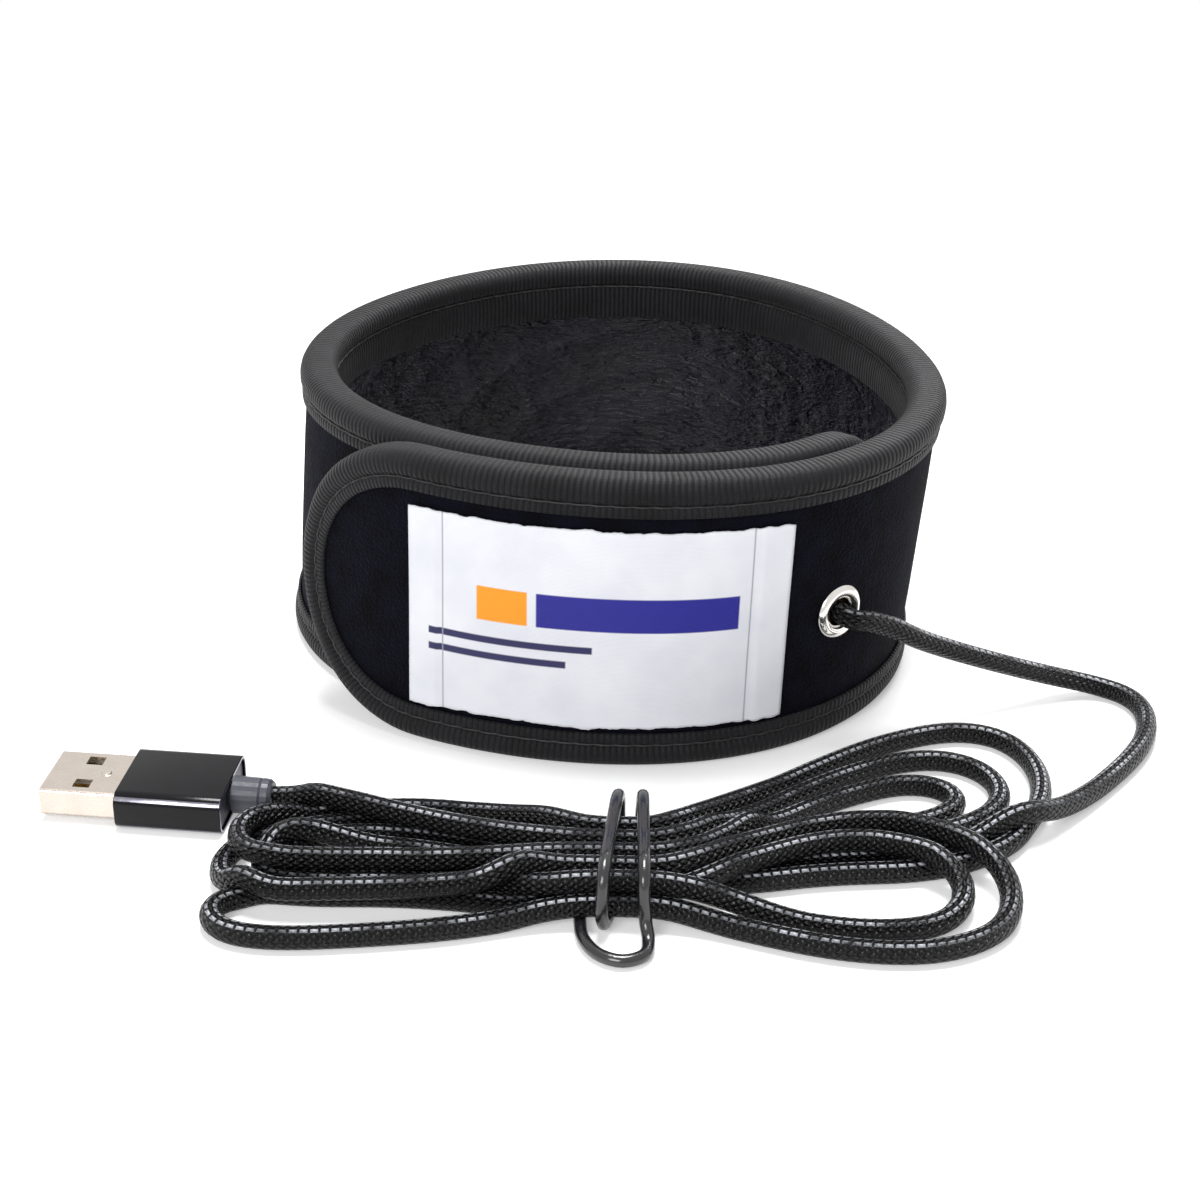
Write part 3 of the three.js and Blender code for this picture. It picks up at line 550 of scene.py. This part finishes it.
# The hank's loops on the left
LEFT_LOOPS = [
    [(-8, -80.2, 5.6), (-13, -76.6, 3.6), (-18.8, -73.8, 2.2), (-24, -73, 1.75), (-32, -72.9, 1.75),
     (-38, -74, 1.75), (-44.4, -76.2, 1.9), (-50.2, -79.2, 4.2), (-53.8, -83.2, 5), (-54.3, -87, 5),
     (-51.8, -90.4, 5.1), (-46.1, -91.6, 5.1), (-38.3, -91.2, 4.9), (-27.1, -90.9, 4.9),
     (-15.9, -90.7, 5.6), (-8.5, -90.7, 6.4)],
    [(-8, -85, 2.9), (-15, -83.6, 1.8), (-24, -81.2, 1.75), (-33, -79.7, 1.75), (-40.4, -79, 1.75),
     (-45.6, -81, 1.75), (-47.2, -84.9, 1.75), (-45.2, -88.6, 1.75), (-40, -90, 1.75), (-32, -89, 1.75),
     (-20, -90.2, 1.75), (-9, -92, 2.8)],
    [(-8, -81.2, 2.9), (-14, -79.4, 1.8), (-22, -77.6, 1.75), (-32, -77, 1.75), (-42.4, -78.8, 1.75),
     (-50, -80.6, 1.75), (-54.8, -84.4, 1.75), (-56.2, -89.4, 1.75), (-54.4, -94.8, 2), (-49, -97.6, 3.2),
     (-40, -97.8, 4.2), (-28, -97.5, 4.5), (-19, -97, 4.8), (-11, -95.6, 5.8)],
    [(-9, -99.8, 2.9), (-15, -101.8, 1.8), (-22.6, -103.8, 1.75), (-36.9, -105.9, 1.75),
     (-46.6, -106.6, 1.75), (-53.4, -105.2, 1.75), (-56.2, -100.8, 1.75), (-53.8, -96.6, 1.75),
     (-47.4, -95.4, 1.75), (-36, -95.8, 1.75), (-24, -95.9, 1.75), (-14, -96.4, 1.8), (-8, -96, 2.9)],
    [(-8, -97.2, 5.8), (-14, -95.6, 4.4), (-22, -93.2, 2.2), (-32, -92.5, 1.75), (-40, -93.6, 1.75),
     (-46.4, -93.2, 1.75), (-50.6, -90.2, 1.75), (-50, -86.2, 3.4), (-45.8, -83.4, 5), (-40.6, -82.7, 3.8),
     (-34, -83.1, 1.9), (-24, -84.8, 1.75), (-15, -87, 1.8), (-8, -88.6, 2.9)],
]


def cord_route():
    """The cord from the eyelet to the plug: it passes the waist eleven times, each loop in its turn."""
    right, left = RIGHT_LOOPS, LEFT_LOOPS
    route = LEAD + LEAD_IN + lower(2, False) + left[4][::-1]
    route = route + upper(4, True) + right[4][::-1] + lower(4, False) + left[3][::-1]
    route = route + lower(5, True) + right[3][::-1] + upper(3, False) + left[2][::-1]
    route = route + lower(0, True) + right[2][::-1] + upper(2, False) + left[0][::-1]
    route = route + upper(0, True) + right[0] + lower(3, False) + left[1][::-1]
    return route + lower(1, True) + right[1][::-1] + upper(1, False) + TAIL[::-1]


def settled(line, step):
    """The cord's line once its strands push each other apart, stiffen and rest on the floor."""
    rounds, refresh = 240, 20
    apart, reach = int(2.2 * CORD / step), 3 * CORD
    home = line.copy()
    first, second = np.triu_indices(len(line), apart)
    for turn in range(rounds):
        if turn % refresh == 0:
            gaps = np.linalg.norm(line[first] - line[second], axis=1)
            near_a, near_b = first[gaps < reach], second[gaps < reach]
        between_them = line[near_a] - line[near_b]
        gap = np.linalg.norm(between_them, axis=1)
        hit = gap < CORD
        a, b, gap = near_a[hit], near_b[hit], np.maximum(gap[hit], 1e-6)
        push = between_them[hit] * ((CORD - gap) / gap / 2)[:, None]
        moved, count = np.zeros_like(line), np.zeros(len(line))
        np.add.at(moved, a, push)
        np.add.at(moved, b, -push)
        np.add.at(count, a, 1)
        np.add.at(count, b, 1)
        line = line + 0.9 * moved / np.maximum(count, 1)[:, None]
        line[1:-1] += 0.16 * ((line[:-2] + line[2:]) / 2 - line[1:-1])
        line += 0.025 * (home - line)
        line[:, 2] = np.maximum(line[:, 2] - 0.01, CORD / 2 + 0.02)
        line[:6] = home[:6]
        line[-4:] = home[-4:]
    return line


def carried(along):
    """A direction square to a line, carried along it without a twist."""
    side = np.cross(along[0], (0, 0, 1))
    sides = []
    for direction in along:
        side = side - direction * (side @ direction)
        side = side / np.linalg.norm(side)
        sides.append(side)
    return np.array(sides)


def tube(name, line, radius, sides, level=False):
    """A tube along a line, its ends closed, whose UV map runs along it and once around it.

    On a level tube the map's first quarter is always on top.
    """
    along = np.gradient(line, axis=0)
    along /= np.linalg.norm(along, axis=1, keepdims=True)
    side = np.cross(along, (0, 0, 1)) if level else carried(along)
    side /= np.linalg.norm(side, axis=1, keepdims=True)
    up = np.cross(side, along)
    run = np.concatenate([[0], np.cumsum(np.linalg.norm(np.diff(line, axis=0), axis=1))])

    def shape(i, j):
        angle = 2 * math.pi * j / sides
        points = line[i] + radius * (np.cos(angle)[:, None] * side[i] + np.sin(angle)[:, None] * up[i])
        return points, np.stack([run[i], j / sides / MM], 1)

    made = wrapped(name, len(line) - 1, sides, shape, closed=True)
    edit(lambda: bpy.ops.mesh.fill_holes(sides=sides))
    edit(lambda: bpy.ops.mesh.normals_make_consistent(inside=False))
    return made


def make_cord():
    step = 1.5
    line = evenly(settled(catmull(cord_route(), step), step), 1.0)
    length = float(np.linalg.norm(np.diff(line, axis=0), axis=1).sum())
    # The tube is level so that the painted highlight rows stay on its top.
    made = tube("braided_cord", line, CORD / 2, 14, level=True)
    finish(made, braid_material(), "cord_braid", "cord_lead", "cord_hank", "cord_tail")
    return made, line, length


# The tie: a hook in front of the hank, then two passes over it and one under, at these two heights
TIE_UNDER = 1.1
TIE_OVER = 10.35
TIE_ROUTE = [
    (-2.9, -95.5, TIE_UNDER), (-3, -100.5, TIE_UNDER), (-2.4, -104.6, TIE_UNDER), (-0.2, -108, TIE_UNDER),
    (3, -109.3, TIE_UNDER), (6, -107.8, TIE_UNDER), (6.6, -104.8, 1.3), (6.2, -102.8, 3), (5.9, -102.3, 6),
    (5.8, -101.7, 9), (5.8, -99.6, TIE_OVER), (5.8, -91, TIE_OVER), (5.8, -82, TIE_OVER), (5.8, -79.8, 9.2),
    (5.7, -79.1, 6), (5.6, -79.1, 3.2), (5.4, -79.9, 1.6), (5, -82, TIE_UNDER), (4.2, -86, TIE_UNDER),
    (2, -94, TIE_UNDER), (0.7, -99.8, TIE_UNDER), (0.3, -101.6, 1.7), (0, -102.35, 3.6), (0, -102.3, 6),
    (0.1, -101.7, 9), (0.3, -99.6, TIE_OVER), (1.1, -91, TIE_OVER), (2, -82, TIE_OVER), (2.3, -79.8, 9.2),
    (2.4, -79.1, 6), (2.5, -79.1, 3.2), (2.5, -79.9, 1.7), (2.3, -81.8, 1.2), (2.1, -83.2, TIE_UNDER),
]


def make_tie():
    made = tube("twist_tie_wire", catmull(TIE_ROUTE, 0.8), TIE / 2, 12)
    look = grained("glossy_wire_coat", "#101012", "#1a1a1d", 0.22, 0.8, 0.05, Coat_Weight=0.4)
    return finish(made, look, "wire_coat", "twist_tie")


# Strip

def layer_sheet(name, inset, offset, thickness, columns=400, rows=32, relief=None, hole=None):
    """A cloth of the strip's own outline, its outer face at offset plus any relief, and its thickness.

    A hole is its s, its z and its radius.
    """
    low, high = inset + 0.02, STRIP_LENGTH - inset - 0.02

    def shape(i, j):
        s = low + (high - low) * (i / columns)
        half = half_height(s, inset)
        z = STRIP_HEIGHT / 2 + half * (2 * j / rows - 1)
        out = offset + (relief(s, z) if relief else 0)
        return place(s, z, out), np.stack([s, z], 1)

    made = wrapped(name, columns, rows, shape)
    probe_s, probe_z = 200.0, 25.0
    outward = place(probe_s, probe_z, 1.0) - place(probe_s, probe_z, 0.0)
    probe = Vector(place(probe_s, probe_z, offset) * MM)
    nearest = min(made.data.polygons, key=lambda f: (f.center - probe).length)
    if nearest.normal @ Vector(outward) < 0:
        edit(bpy.ops.mesh.flip_normals)
    if hole:
        puncture(made, *hole, offset)
    modify(made, "SOLIDIFY", thickness=thickness * MM, offset=-1)
    return made


def puncture(obj, s, z, radius, offset):
    """Opens a round hole in a cloth at s and z, before the cloth is given its thickness."""
    centre = Vector(place(s, z, offset) * MM)
    deselect()
    obj.select_set(True)
    bpy.context.view_layer.objects.active = obj
    bpy.ops.object.mode_set(mode="EDIT")
    bpy.ops.mesh.select_mode(type="FACE")
    bpy.ops.mesh.select_all(action="DESELECT")
    bpy.ops.object.mode_set(mode="OBJECT")
    for face in obj.data.polygons:
        face.select = (face.center - centre).length < (radius - 0.3) * MM
    bpy.ops.object.mode_set(mode="EDIT")
    bpy.ops.mesh.delete(type="FACE")
    bpy.ops.object.mode_set(mode="OBJECT")
    for vertex in obj.data.vertices:
        away = vertex.co - centre
        if away.length < radius * MM:
            vertex.co = centre + away.normalized() * radius * MM


def make_cover():
    """The pile cloth on the outer face, with the eyelet's hole."""
    def puff(s, z):
        """How far the foam lifts the cloth off: a soft crown and a slow unevenness."""
        from_edge = np.minimum(z, STRIP_HEIGHT - z)
        return 0.12 * smoothstep(from_edge, 6, 16) + 0.05 * np.sin(s / 9) * np.sin(z / 7 + s / 23)

    made = layer_sheet("cover_cloth", LAYER_INSET, COVER_OUTER, COVER_OUTER - COVER_INNER, relief=puff,
                       hole=(EYELET_AT, EYELET_HEIGHT, EYELET_HOLE))
    return finish(made, pile_material(), "loop_pile_cloth", "outer_cover")


def crease(s, z):
    """How far the lining stands off inwards: bowed creases that fade at the binding and in the overlap."""
    half = half_height(s, 0)
    from_edge = half - np.abs(z - STRIP_HEIGHT / 2) - BINDING_DEPTH
    fade = (smoothstep(from_edge, 0, 5) * smoothstep(EYELET_AT - 15 - s, 0, 20)
            * smoothstep(s, INNER_CORNER, INNER_CORNER + 15))
    bend = 5 * np.sin(z / 13 + s / 31)
    short = np.abs(np.sin(math.pi * (s + bend + 0.35 * z) / 11.3))
    long = np.sin(2 * math.pi * (s - 0.9 * z + bend) / 39.1)
    slant = np.abs(np.sin(math.pi * (s * 0.8 - 1.3 * z + 2 * bend) / 19.7))
    return fade * (0.1 + 0.25 * (1 - short) ** 1.5 + 0.1 * (1 + long) + 0.35 * (1 - slant) ** 2)


def make_lining():
    """The coated cloth on the inner face, with its creases."""
    made = layer_sheet("lining_cloth", LAYER_INSET, LINING_OUTER, LINING_OUTER - LINING_INNER, 560, 44,
                       relief=lambda s, z: -crease(s, z))
    return finish(made, lining_material(), "coated_lining", "inner_lining")


def binding_line(step):
    """The strip's edge as s, z and the way in, with its running length."""
    parts = []

    def straight(start, end, z, inward):
        count = int(abs(end - start) / step)
        s = np.linspace(start, end, count, endpoint=False)
        parts.append(np.stack([s, np.full(count, z), np.zeros(count), np.full(count, inward)], 1))

    def arc(s, z, radius, start, end):
        count = max(6, int(radius * math.radians(abs(end - start)) / step))
        angle = np.radians(np.linspace(start, end, count, endpoint=False))
        parts.append(np.stack([s + radius * np.cos(angle), z + radius * np.sin(angle),
                               -np.cos(angle), -np.sin(angle)], 1))

    top, corner = STRIP_HEIGHT, INNER_CORNER
    straight(corner, STRIP_LENGTH - OUTER_END, 0, 1)
    arc(STRIP_LENGTH - OUTER_END, OUTER_END, OUTER_END, -90, 90)
    straight(STRIP_LENGTH - OUTER_END, corner, top, -1)
    arc(corner, top - corner, corner, 90, 180)
    arc(corner, corner, corner, 180, 270)
    line = np.vstack(parts)
    line = np.vstack([line, line[:1]])
    run = np.concatenate([[0], np.cumsum(np.linalg.norm(np.diff(line[:, :2], axis=0), axis=1))])
    return line, run


# The binding's section on one side: depth in from the edge, and how far out it stands
BINDING_SIDE = [
    (6.2, 2.3), (6.22, 2.5), (6.1, 2.78), (5.4, 2.84), (4.75, 2.84), (4.45, 2.74), (4.15, 2.56), (3.85, 2.7),
    (3.5, 3.02), (3.0, 3.2), (2.2, 3.24), (1.5, 3.12), (0.9, 2.8), (0.45, 2.35), (0.15, 1.75), (0.02, 0.9),
]

# The lip reaches further down on the inner face, and rolls a little
INNER_LIP = [(10.7, 2.32), (10.75, 2.5), (10.5, 2.75), (9.2, 3.0), (6.5, 3.05), (5.2, 2.95), (4.6, 2.7)]


def make_binding():
    """The tape folded over the strip's whole edge, with a slight unevenness along it."""
    line, run = binding_line(1.5)
    side = np.array(BINDING_SIDE)
    inner = np.array(INNER_LIP + BINDING_SIDE[6:])
    section = np.vstack([side, inner[::-1] * [1, -1], [(1.0, -2.3), (1.0, 2.3)], side[:1]])
    across = np.concatenate([[0], np.cumsum(np.linalg.norm(np.diff(section, axis=0), axis=1))])

    def shape(i, j):
        s, z, in_s, in_z = line[i].T
        depth, out = section[j].T
        sag = 0.05 * np.sin(run[i] / 3.1) + 0.07 * np.sin(run[i] / 8.3 + 1)
        points = place(s + in_s * depth, z + in_z * depth, out * (1 + 0.02 * sag))
        return points, np.stack([run[i], across[j]], 1)

    made = wrapped("binding_tape", len(line) - 1, len(section) - 1, shape, closed=True)
    return finish(made, tape_material(), "grosgrain_tape", "edge_binding")


def make_stitching(name, out):
    """One running thread in the groove between bead and lip, over and under the tape by turns."""
    line, run = binding_line(0.45)
    depth, pitch = 4.2, 3.1
    s, z, in_s, in_z = line.T
    wave = np.clip(np.cos(2 * math.pi * run / pitch) + 0.45, -0.9, 0.6)
    route = place(s + in_s * depth, z + in_z * depth, np.sign(out) * (abs(out) + 0.16 * wave))
    made = tube(name, route, 0.16, 6)
    look = grained("black_thread", "#0b0b0c", "#1c1c1e", 0.45, 0.4, 0.05)
    return finish(made, look, "grosgrain_tape")


def make_eyelet():
    """A nickel ring: a domed flange on the cloth and a barrel through it, as reach and radius."""
    turns = 48
    profile = np.array([
        (0.35, 2.3), (0.35, 2.65), (1.9, 2.7), (2.16, 3.0), (2.12, 4.4), (2.28, 4.62), (2.5, 4.55),
        (2.78, 4.1), (2.92, 3.5), (2.86, 2.9), (2.6, 2.45), (2.1, 2.32), (0.35, 2.3),
    ])
    centre = place(EYELET_AT, EYELET_HEIGHT, 0.0)
    out = place(EYELET_AT, EYELET_HEIGHT, 1.0) - centre
    side = np.cross(out, (0, 0, 1))

    def shape(i, j):
        angle = 2 * math.pi * i / turns
        reach, radius = profile[j].T
        around = np.cos(angle)[:, None] * side + np.sin(angle)[:, None] * np.array([0, 0, 1])
        return centre + out * reach[:, None] + around * radius[:, None], np.stack([angle, reach], 1)

    made = wrapped("eyelet_ring", turns, len(profile) - 1, shape, closed=True)
    bpy.ops.object.shade_smooth_by_angle(angle=math.radians(50))
    look = grained("bright_nickel", "#e6e4e0", "#d8d5d0", 0.14, 0.7, 0.003, 1.0)
    return finish(made, look, "nickel", "eyelet")


def make_label():
    """The label on the cover, with ragged long edges and ends that rise over what is folded under."""
    columns, rows, fold = 110, 64, LABEL_FOLD
    start = LABEL_END - LABEL_LENGTH
    rng = np.random.default_rng(5)
    ragged = np.convolve(rng.normal(0, 1, (columns + 9)), np.ones(3) / 3, "valid")[:columns + 1] * 0.22

    def shape(i, j):
        s = start + LABEL_LENGTH * i / columns
        share = j / rows
        z = LABEL_BOTTOM + LABEL_HEIGHT * share + ragged[i] * (2 * share - 1) ** 9
        ends = np.minimum(s - start, LABEL_END - s)
        lift = 0.3 * smoothstep(-ends, -fold - 0.5, -fold + 0.3) + 0.06 * np.sin(s / 5 + z / 6)
        return place(s, z, COVER_OUTER + 0.62 + lift), np.stack([s - start, z - LABEL_BOTTOM], 1)

    made = wrapped("printed_label", columns, rows, shape)
    facing = Vector(place(LABEL_END - 30, 20.0, 9.0) - place(LABEL_END - 30, 20.0, 0.0))
    if made.data.polygons[columns * rows // 2].normal @ facing < 0:
        edit(bpy.ops.mesh.flip_normals)
    modify(made, "SOLIDIFY", thickness=0.3 * MM, offset=-1)
    return finish(made, label_material(), "label_cloth", "label")


def make_sleeve():
    """The plug's sleeve: a rounded tube whose long edges are cut bright."""
    deselect()
    bpy.ops.mesh.primitive_cube_add(size=1)
    made = named("plug_sleeve_shell")
    made.scale = Vector((SLEEVE_LENGTH, SLEEVE_WIDTH, SLEEVE_HEIGHT)) * MM
    bpy.ops.object.transform_apply(location=False, rotation=False, scale=True)
    bpy.ops.object.mode_set(mode="EDIT")
    bpy.ops.mesh.select_mode(type="EDGE")
    bpy.ops.mesh.select_all(action="DESELECT")
    bpy.ops.object.mode_set(mode="OBJECT")
    for edge in made.data.edges:
        a, b = (made.data.vertices[v].co for v in edge.vertices)
        edge.select = abs(a.x - b.x) > MM
    bpy.ops.object.mode_set(mode="EDIT")
    bpy.ops.mesh.bevel(offset=1.9 * MM, segments=9, affect="EDGES")
    bpy.ops.mesh.select_mode(type="FACE")
    bpy.ops.mesh.select_all(action="DESELECT")
    bpy.ops.object.mode_set(mode="OBJECT")
    for face in made.data.polygons:
        face.select = abs(face.normal.x) > 0.9
    bpy.ops.object.mode_set(mode="EDIT")
    bpy.ops.mesh.delete(type="FACE")
    bpy.ops.object.mode_set(mode="OBJECT")
    modify(made, "SOLIDIFY", thickness=SLEEVE_WALL * MM, offset=-1)
    modify(made, "BEVEL", width=0.14 * MM, segments=3, limit_method="ANGLE", angle_limit=math.radians(50))
    bpy.ops.object.shade_smooth_by_angle(angle=math.radians(35))
    look = grained("black_anodising", "#060609", "#09090d", 0.16, 0.3, 0.002, Specular_IOR_Level=0.22)
    finish(made, look, "black_anodised", "plug_sleeve")
    made.data.materials.append(grained("bright_cut_edge", "#8d8a94", "#77747f", 0.2, 0.4, 0.002, 1.0))
    for face in made.data.polygons:
        outer = max(abs(face.center.y) / SLEEVE_WIDTH, abs(face.center.z) / SLEEVE_HEIGHT) > 0.42 * MM
        rounded = 0.5 < abs(face.normal.z) < 0.8 and abs(face.normal.x) < 0.3
        rim = abs(face.normal.x) > 0.95 and face.center.x > 0
        face.material_index = int((outer and rounded) or rim)
    made.data.transform(plug_turn())
    return made


def plug_turn():
    """From the plug's own axes to its place on the floor."""
    return Matrix.Translation(PLUG_PLACE * MM) @ Matrix.Rotation(PLUG_YAW, 4, "Z")


def node_looks():
    """The CAD nodes that stay, with the finish that each really has."""
    gold = grained("gold_flash", "#d9b56a", "#c79f50", 0.28, 0.3, 0.01, 1.0)
    foil = grained("etched_foil", "#b9b4ae", "#a39d96", 0.4, 0.5, 0.02, 1.0)
    tin = grained("dull_solder", "#c4c8cb", "#a5a9ad", 0.38, 0.6, 0.05, 1.0)
    nickel = grained("bright_nickel", "#dcdad6", "#c9c6c1", 0.16, 0.7, 0.01, 1.0)
    looks = {
        "foam_pad": grained("closed_cell_foam", "#2f2f31", "#252527", 0.9, 0.5, 0.1),
        "heater_film": grained("amber_film", "#c98a2c", "#b57a22", 0.3, 2, 0.02),
        "heater_trace": foil,
        "hook_patch": grained("moulded_hooks", "#18181a", "#222225", 0.5, 0.9, 0.35),
        "eyelet_washer": nickel,
        "solder_pad_positive": tin,
        "solder_pad_negative": tin,
        "lead_wire_positive": grained("red_insulation", "#a32020", "#8c1a1a", 0.4, 1, 0.02),
        "lead_wire_negative": grained("black_insulation", "#141416", "#1d1d20", 0.4, 1, 0.02),
        "plug_shell": grained("satin_nickel_steel", "#cdc3b9", "#c8beb4", 0.27, 0.3, 0.003, 1.0),
        "plug_tongue": grained("moulded_nylon", "#eae8e2", "#dedbd3", 0.5, 1.2, 0.02),
        "plug_overmould": grained("grey_moulding", "#3a3b45", "#33343d", 0.42, 0.8, 0.03),
    }
    for index in range(1, 5):
        looks[f"plug_contact_{index}"] = gold
    return looks


# Staging

def make_camera():
    """The photo's camera, with the aim's pixel set by the lens shift."""
    data = bpy.data.cameras.new("camera")
    camera = bpy.data.objects.new("camera", data)
    bpy.context.scene.collection.objects.link(camera)
    place_at = Vector(CAMERA_PLACE) * MM
    ahead = (Vector(CAMERA_AIM) * MM - place_at).normalized()
    level = ahead.cross(Vector((0, 0, 1))).normalized()
    upright = level.cross(ahead)
    right = level * math.cos(CAMERA_ROLL) + upright * math.sin(CAMERA_ROLL)
    up = upright * math.cos(CAMERA_ROLL) - level * math.sin(CAMERA_ROLL)
    turn = Matrix((right, up, -ahead)).transposed().to_4x4()
    camera.matrix_world = Matrix.Translation(place_at) @ turn
    data.lens = CAMERA_LENS
    data.sensor_width = SENSOR
    data.shift_x = (IMAGE / 2 - AIM_PIXEL[0]) / IMAGE
    data.shift_y = (AIM_PIXEL[1] - IMAGE / 2) / IMAGE
    data.clip_start = 0.01
    bpy.context.scene.camera = camera


def seen_directly(tree):
    """1 for what the camera sees itself, in metal or through glass."""
    rays = add_node(tree, "ShaderNodeLightPath")
    total = calc(tree, "ADD", rays.outputs["Is Camera Ray"], rays.outputs["Is Glossy Ray"])
    return calc(tree, "MINIMUM", calc(tree, "ADD", total, rays.outputs["Is Transmission Ray"]), 1.0)


def make_floor():
    """A pale floor that catches soft shadows near the object and fades to white away from it."""
    deselect()
    bpy.ops.mesh.primitive_plane_add(size=6)
    floor = named("floor")
    made, tree, shader = material("pale_floor", "#e6e6e6", 0.9, Specular_IOR_Level=0.1)
    split = add_node(tree, "ShaderNodeVectorMath", {0: coordinates(tree)}, operation="LENGTH")
    far = add_node(tree, "ShaderNodeMapRange", {0: split.outputs[1], 1: 0.13, 2: 0.32},
                   interpolation_type="SMOOTHSTEP").outputs[0]
    directly = seen_directly(tree)
    white = add_node(tree, "ShaderNodeEmission", {"Color": (1, 1, 1, 1), "Strength": 1.0})
    lift = add_node(tree, "ShaderNodeEmission", {
        "Color": (1, 1, 1, 1), "Strength": calc(tree, "MULTIPLY", directly, 0.34)})
    lit = add_node(tree, "ShaderNodeAddShader", {0: shader.outputs[0], 1: lift.outputs[0]})
    shown = add_node(tree, "ShaderNodeMixShader", {
        0: calc(tree, "MULTIPLY", far, directly), 1: lit.outputs[0], 2: white.outputs[0]})
    tree.links.new(shown.outputs[0], tree.nodes["Material Output"].inputs["Surface"])
    floor.data.materials.append(made)


def make_light():
    """A white world, weaker as light than as seen, and three soft lamps: place, size and power."""
    world = bpy.data.worlds.new("studio")
    world.use_nodes = True
    bpy.context.scene.world = world
    tree = world.node_tree
    ambient = tree.nodes["Background"]
    ambient.inputs["Strength"].default_value = 0.36
    ambient.inputs["Color"].default_value = (1, 1, 1, 1)
    white = add_node(tree, "ShaderNodeBackground", {"Color": (1, 1, 1, 1), "Strength": 1.0})
    shown = add_node(tree, "ShaderNodeMixShader", {
        0: seen_directly(tree), 1: ambient.outputs[0], 2: white.outputs[0]})
    tree.links.new(shown.outputs[0], tree.nodes["World Output"].inputs["Surface"])
    for name, where, size, power in (
            ("overhead", (0.0, 0.12, 0.85), 0.32, 9.0),
            ("key", (-0.3, -0.75, 0.5), 0.4, 4.6),
            ("back", (0.25, 0.6, 0.45), 0.3, 3.0)):
        lamp = bpy.data.lights.new(name, "AREA")
        lamp.size = size
        lamp.energy = power
        held = bpy.data.objects.new(name, lamp)
        bpy.context.scene.collection.objects.link(held)
        held.location = where
        held.rotation_euler = (-Vector(where)).to_track_quat("-Z", "Y").to_euler()


# The pieces, in the order in which they are made, then the finishes of the CAD nodes that stay, the floor and
# the light
bpy.context.scene.view_settings.view_transform = "Standard"
make_camera()
cord, cord_line, cord_length = make_cord()
tie = make_tie()
cover = make_cover()
lining = make_lining()
make_binding()
label = make_label()
sleeve = make_sleeve()
make_stitching("outer_stitching", 2.66)
make_stitching("inner_stitching", -2.74)
make_eyelet()
for node_name, look in node_looks().items():
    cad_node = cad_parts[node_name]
    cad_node.data.materials.clear()
    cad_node.data.materials.append(look)

make_floor()
make_light()
